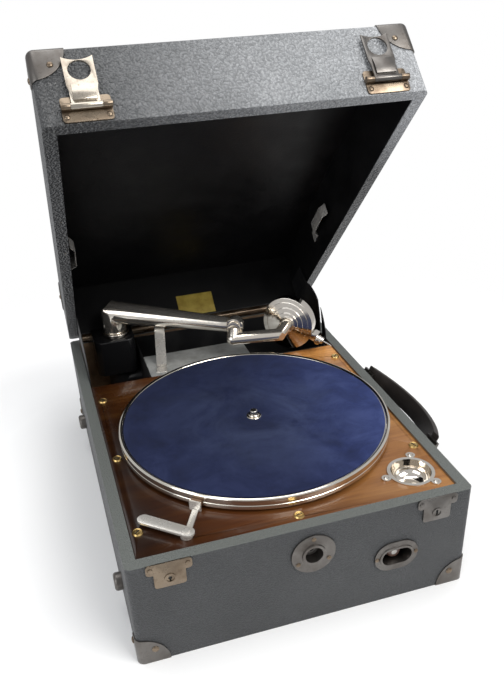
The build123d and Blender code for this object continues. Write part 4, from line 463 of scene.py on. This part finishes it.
# Velvet: a disc of dark blue pile glued on the turntable.
# Records have rubbed it paler in soft rings and patches.
velvet, tree, bsdf, where = start("blue velvet", 0.0, 0.85)
centre = tree.nodes.new("ShaderNodeVectorMath")
centre.operation = "SUBTRACT"
centre.inputs[1].default_value = (table_x, table_y, 0.1130)
link(tree, where, centre.inputs[0])
reach = tree.nodes.new("ShaderNodeVectorMath")
reach.operation = "LENGTH"
link(tree, centre.outputs[0], reach.inputs[0])
mottle = noise(tree, where, 26.0, 9.0, 0.68, (1, 1, 1), 0.5)
fuzz = noise(tree, where, 1500.0, 3.0, 0.7)
wear = noise(tree, where, 14.0, 8.0, 0.7, (1, 1, 1), 0.8)
colour = ramp(tree, mottle, [(0.28, (0.012, 0.020, 0.075)), (0.50, (0.026, 0.042, 0.150)),
                             (0.74, (0.060, 0.085, 0.240))])
worn_ring = [(0.0, (0.75, 0.75, 0.75)), (0.10, (0.25, 0.25, 0.25)), (0.30, (0.62, 0.62, 0.62)),
             (0.62, (0.25, 0.25, 0.25)), (0.9, (0.05, 0.05, 0.05))]
rings = ramp(tree, span(tree, reach.outputs["Value"], 0.0, 1.0, 0.0, 0.123), worn_ring)
mixed = tree.nodes.new("ShaderNodeMath")
mixed.operation = "MULTIPLY"
link(tree, rings, mixed.inputs[0])
link(tree, span(tree, wear, 0.0, 1.4, 0.35, 0.65), mixed.inputs[1])
colour = blend_colour(tree, mixed.outputs[0], colour, (0.12, 0.16, 0.34))
colour = blend_colour(tree, span(tree, fuzz, 0.0, 0.5, 0.5, 0.7), colour, (0.010, 0.014, 0.05))
# Painted light: the velvet's colour is scaled from about a third at the left to full at the right, standing
# in for light on the pile.
sideways = tree.nodes.new("ShaderNodeSeparateXYZ")
link(tree, where, sideways.inputs[0])
velvet_painted_light = tree.nodes.new("ShaderNodeVectorMath")
velvet_painted_light.operation = "SCALE"
link(tree, colour, velvet_painted_light.inputs[0])
link(tree, span(tree, sideways.outputs["X"], 0.36, 1.0, 0.01, 0.12), velvet_painted_light.inputs["Scale"])
link(tree, velvet_painted_light.outputs[0], bsdf.inputs["Base Color"])
bsdf.inputs["Specular IOR Level"].default_value = 0.25
bsdf.inputs["Sheen Weight"].default_value = 0.10
bsdf.inputs["Sheen Roughness"].default_value = 0.4
bsdf.inputs["Sheen Tint"].default_value = (0.35, 0.42, 0.70, 1)
link(tree, bump(tree, fuzz, 0.5, 0.0006), bsdf.inputs["Normal"])
disc = [(0.0071, 0.1121), (0.0071, 0.1131), (0.0080, 0.1133), (0.03, 0.1133), (0.06, 0.11325), (0.09, 0.1133),
        (0.1216, 0.1133), (0.1226, 0.1130), (0.1228, 0.1121)]
parts = [lathe_mesh(disc, Matrix.Translation((table_x, table_y, 0)), 240)]
pile = gather("velvet_disc", parts, velvet, "turntable")
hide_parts("platter_velvet")

# Spindle: the turned steel shaft that carries the turntable on its shoulder.
# Its pin stands up through the velvet inside a small bright collar.
dress("spindle", steel)
collar = [(0.0052, 0.1131), (0.0052, 0.1146), (0.0048, 0.1151), (0.0038, 0.1152), (0.0036, 0.1150)]
piece = gather("spindle_collar", [lathe_mesh(collar, Matrix.Translation((table_x, table_y, 0)), 48)], nickel,
               "turntable")

# Brake: a flat nickel-plated lever screwed to the deck, with an arm towards the turntable.
# The arm's leather shoe presses on the rim.
satin = metal("satin nickel", (0.78, 0.75, 0.70), (0.40, 0.33, 0.25), (0.22, 0.38), 0.4)
satin.node_tree.nodes["Principled BSDF"].inputs["Metallic"].default_value = 0.6
dress("brake_lever", satin, 0.0005)
hide = paint("worn leather", (0.16, 0.09, 0.05), (0.30, 0.19, 0.11), (0.6, 0.8), (400.0, 0.3))
dress("brake_shoe", hide, 0.0004)

# Locks, escutcheons and corner caps on the base: pressed steel, held by domed screws.
# The plating has gone dark, and brown on the lock plates.
dark_steel = metal("dark oxidised steel", (0.17, 0.16, 0.15), (0.06, 0.045, 0.035), (0.25, 0.5), 0.7)
brown_plate = metal("stained plate", (0.24, 0.19, 0.14), (0.07, 0.042, 0.025), (0.22, 0.45), 0.9)
dress("lock_plate_left", brown_plate, 0.0003)
dress("lock_plate_right", dark_steel, 0.0003)
dress("crank_escutcheon", dark_steel, 0.0004)
dress("crank_stow_escutcheon", dark_steel, 0.0004)
dress("base_corner_protectors", dark_steel, 0.0003)
dress("case_screws", brown_plate)
dress("side_feet", dark_steel)

# Crank put away in the case: a turned wooden grip in the oval hole.
# Its steel rod lies behind, along the wall.
grip_wood = wood("turned grip", (0.05, 0.018, 0.010), (0.13, 0.05, 0.025), (1, 0.08, 1), (0.2, 0.35),
                 coat=0.5, grain=160.0)
dress("crank_rod", steel)
dress("crank_grip", grip_wood)

# Tonearm pedestal: a black japanned casting bolted to the back wall, at the left.
# The nickel flange on it is the bearing that the arm turns in.
black_iron = paint("black japan", (0.010, 0.010, 0.011), (0.035, 0.033, 0.03), (0.16, 0.32))
dress("tonearm_pedestal", black_iron, 0.0006)
dress("tonearm_bearing", nickel, 0.0003)

# Tonearm: a tapered nickel-plated tube, mitred above its bearing.
# The plating has warm stains; a bent strip from the horn's sheet is its rest.
arm_nickel = metal("tonearm nickel", (0.86, 0.81, 0.73), (0.56, 0.44, 0.31), (0.09, 0.22), 0.35, 0.0, 0.03)
arm_nickel.node_tree.nodes["Principled BSDF"].inputs["Metallic"].default_value = 0.92
dress("tonearm_tube", arm_nickel, 0.0004)
dress("arm_rest", satin, 0.0002)

# Sound box on its gooseneck: a turned shell with stepped rings on its back.
# A mica diaphragm closes its front, and the stylus bar carries the needle in its chuck.
dress("gooseneck", arm_nickel, 0.0003)
dress("sound_box_shell", nickel, 0.0004)
mica, tree, bsdf, where = start("mica and gasket", 0.0, 0.15)
link(tree, ramp(tree, noise(tree, where, 80.0, 6.0), [(0.3, (0.42, 0.36, 0.26)), (0.7, (0.62, 0.57, 0.47))]),
     bsdf.inputs["Base Color"])
bsdf.inputs["Coat Weight"].default_value = 0.6
link(tree, bump(tree, noise(tree, where, 90.0, 3.0), 0.08, 0.0005), bsdf.inputs["Normal"])
dress("diaphragm", mica)
dress("stylus_bar", nickel, 0.0002)
dress("needle", steel)
dress("needle_screw", nickel, 0.0003)

# Lid: a wooden tray lined in black and covered in a coarser book cloth than the base.
# The front band's colour is painted up to 7.5 times brighter towards the right, a painted highlight.
lining = paint("black lining", (0.004, 0.004, 0.0045), (0.012, 0.0115, 0.0115), (0.35, 0.55), (500.0, 0.2))
lining.node_tree.nodes["Principled BSDF"].inputs["Specular IOR Level"].default_value = 0.28
lid_cloth = bookcloth("lid book cloth", (0.046, 0.048, 0.050), (0.085, 0.087, 0.090), 520.0, 1.0,
                      (0.26, 0.40), painted_glare=(1.0, 7.5))
dress("lid_carcass", lining)
dress("lid_covering", lid_cloth)
dress("lid_cheeks", black_sheet)
dress("lid_corner_protectors", dark_steel, 0.0003)

# Paper label: a plain yellow slip glued on the lid's back wall above the tonearm.
# What is added to the lid is laid out as if it were shut, then turned open about the hinge.
hinge_at = Vector((0, 0.2037, 0.10215))
lid_open = math.radians(46.25)
tilt = Matrix.Translation(hinge_at) @ Matrix.Rotation(-lid_open, 4, "X") @ Matrix.Translation(-hinge_at)
label_paper, tree, bsdf, where = start("yellow paper", 0.0, 0.6)
link(tree, ramp(tree, noise(tree, where, 90.0, 8.0), [(0.3, (0.38, 0.26, 0.035)), (0.7, (0.62, 0.47, 0.09))]),
     bsdf.inputs["Base Color"])
link(tree, bump(tree, noise(tree, where, 200.0, 4.0), 0.2, 0.0003), bsdf.inputs["Normal"])
label_wide, label_thick, label_tall = 0.044, 0.0003, 0.0266
label_at = Matrix.Translation((0.009, 0.1909, 0.1176))
parts = [block_mesh(tilt @ label_at, label_wide, label_thick, label_tall)]
gather("lid_label", parts, label_paper, "lid", 0.00008)

# Record clips: bent nickel-plated strips screwed to the lid's side walls.
# They hold records in the lid by their edges.
dress("record_clip_left", satin, 0.0002)
dress("record_clip_right", satin, 0.0002)

# Hasps: holed steel plates with a finger tongue, each on the pin of a screwed plate.
# The left one is still bright under its stains, the right one dark.
left_plate = metal("stained nickel plate", (0.50, 0.45, 0.38), (0.16, 0.10, 0.06), (0.18, 0.4), 0.75)
dress("hasp_plates", brown_plate, 0.0003)
dress("hasp_left", left_plate, 0.0004)
dress("hasp_right", dark_steel, 0.0004)

# Screws of the hasp plates and of the lid's corner caps: small steel ones with domed heads.
# Each stands square on the face that it holds.
hasp_x, hasp_screw_reach = 0.113, 0.0145
turn_open = tilt.to_3x3()
parts = []
for side in (-1, 1):
    for x in (-1, 1):
        spot = tilt @ Vector((side * hasp_x + x * hasp_screw_reach, -0.2022, 0.1073))
        outward = turn_open @ Vector((0, -1, 0))
        parts.append(lathe_mesh(dome_profile(0.0021, 0.0011), place(spot, outward), 24))
for sx in (-1, 1):
    for sy in (-1, 1):
        cap_screws = [((sx * 0.1470, sy * 0.1867, 0.1510), (sx, 0, 0)),
                      ((sx * 0.1317, sy * 0.2020, 0.1510), (0, sy, 0)),
                      ((sx * 0.1330, sy * 0.1880, 0.1663), (0, 0, 1))]
        for at, out in cap_screws:
            spot = tilt @ Vector(at)
            parts.append(lathe_mesh(dome_profile(0.0024, 0.0013), place(spot, turn_open @ Vector(out)), 24))
gather("lid_screws", parts, brown_plate, "lid")

# Hinge: two long steel leaves let into the rims, round one pin.
# The stay stud beside it stops the right cheek's slot.
dress("hinge_base_leaf", brown_plate)
dress("hinge_lid_leaf", brown_plate)
dress("hinge_pin", steel)
dress("lid_stay_stud", nickel)

# Handle on the right wall: a worn leather strap stitched to two wire loops.
# The loops turn in brackets screwed to the wall.
strap = paint("strap leather", (0.022, 0.017, 0.015), (0.075, 0.055, 0.043), (0.38, 0.6), (350.0, 0.35))
dress("handle_brackets", dark_steel, 0.0003)
dress("handle_loops", dark_steel, 0.0003)
dress("handle_strap", strap, 0.0009)

# Floor, lights and camera: a pale floor that fades into white, under soft studio light.
# The camera stands at the front left, as in the photograph.
floor_paint, tree, bsdf, where = start("pale floor", 0.0, 0.9)
bsdf.inputs["Base Color"].default_value = (0.93, 0.93, 0.93, 1)
far = tree.nodes.new("ShaderNodeVectorMath")
far.operation = "LENGTH"
link(tree, where, far.inputs[0])
clear = tree.nodes.new("ShaderNodeBsdfTransparent")
fade = tree.nodes.new("ShaderNodeMixShader")
link(tree, span(tree, far.outputs["Value"], 0.0, 1.0, 0.30, 0.62), fade.inputs[0])
link(tree, bsdf.outputs[0], fade.inputs[1])
link(tree, clear.outputs[0], fade.inputs[2])
link(tree, fade.outputs[0], tree.nodes["Material Output"].inputs["Surface"])
mesh = bpy.data.meshes.new("floor")
mesh.from_pydata([(-6, -6, 0), (6, -6, 0), (6, 6, 0), (-6, 6, 0)], [], [(0, 1, 2, 3)])
mesh.materials.append(floor_paint)
floor = bpy.data.objects.new("floor", mesh)
bpy.context.scene.collection.objects.link(floor)


def lamp(name, at, aim, wide, tall, watts, colour=(1, 1, 1)):
    data = bpy.data.lights.new(name, "AREA")
    data.shape = "RECTANGLE"
    data.size = wide
    data.size_y = tall
    data.energy = watts
    data.color = colour
    light = bpy.data.objects.new(name, data)
    toward = Vector(at) - Vector(aim)
    light.matrix_world = Matrix.Translation(at) @ toward.to_track_quat("Z", "Y").to_matrix().to_4x4()
    bpy.context.scene.collection.objects.link(light)
    return light


lamp("key", (0.9, -1.3, 1.9), (0, 0, 0.15), 1.4, 1.0, 34.0, (1.0, 0.985, 0.96))
lamp("fill", (-1.7, -1.0, 1.1), (0, 0, 0.15), 1.6, 1.4, 15.0, (0.96, 0.98, 1.0))
lamp("top", (0.1, 0.5, 2.3), (0, 0, 0.1), 2.0, 1.6, 22.0)

world = bpy.data.worlds.new("studio")
world.use_nodes = True
bpy.context.scene.world = world
tree = world.node_tree
tree.nodes.clear()
path = tree.nodes.new("ShaderNodeLightPath")
white = tree.nodes.new("ShaderNodeBackground")
white.inputs["Color"].default_value = (1, 1, 1, 1)
white.inputs["Strength"].default_value = 1.0
soft_light = tree.nodes.new("ShaderNodeBackground")
soft_light.inputs["Color"].default_value = (0.97, 0.98, 1.0, 1)
soft_light.inputs["Strength"].default_value = 0.55
choose = tree.nodes.new("ShaderNodeMixShader")
output = tree.nodes.new("ShaderNodeOutputWorld")
link(tree, path.outputs["Is Camera Ray"], choose.inputs[0])
link(tree, soft_light.outputs[0], choose.inputs[1])
link(tree, white.outputs[0], choose.inputs[2])
link(tree, choose.outputs[0], output.inputs[0])

picture_wide, picture_tall = 504, 700
focal_pixels = 758.63
centre_x, centre_y = 254.68, 397.10
az, el, roll = math.radians(-16.25), math.radians(31.05), math.radians(-2.37)
back = Vector((math.sin(az) * math.cos(el), -math.cos(az) * math.cos(el), math.sin(el)))
right = Vector((math.cos(az), math.sin(az), 0))
up = back.cross(right)
turned_right = right * math.cos(roll) + up * math.sin(roll)
turned_up = up * math.cos(roll) - right * math.sin(roll)
data = bpy.data.cameras.new("camera")
data.sensor_fit = "VERTICAL"
data.sensor_height = 36.0
data.lens = focal_pixels / picture_tall * data.sensor_height
data.shift_x = -(centre_x - picture_wide / 2) / picture_tall
data.shift_y = (centre_y - picture_tall / 2) / picture_tall
camera = bpy.data.objects.new("camera", data)
axes = Matrix((turned_right, turned_up, back)).transposed().to_4x4()
camera.matrix_world = Matrix.Translation((-0.16473, -0.62849, 0.49804)) @ axes
bpy.context.scene.collection.objects.link(camera)
bpy.context.scene.camera = camera

bpy.context.scene.view_settings.view_transform = "Standard"
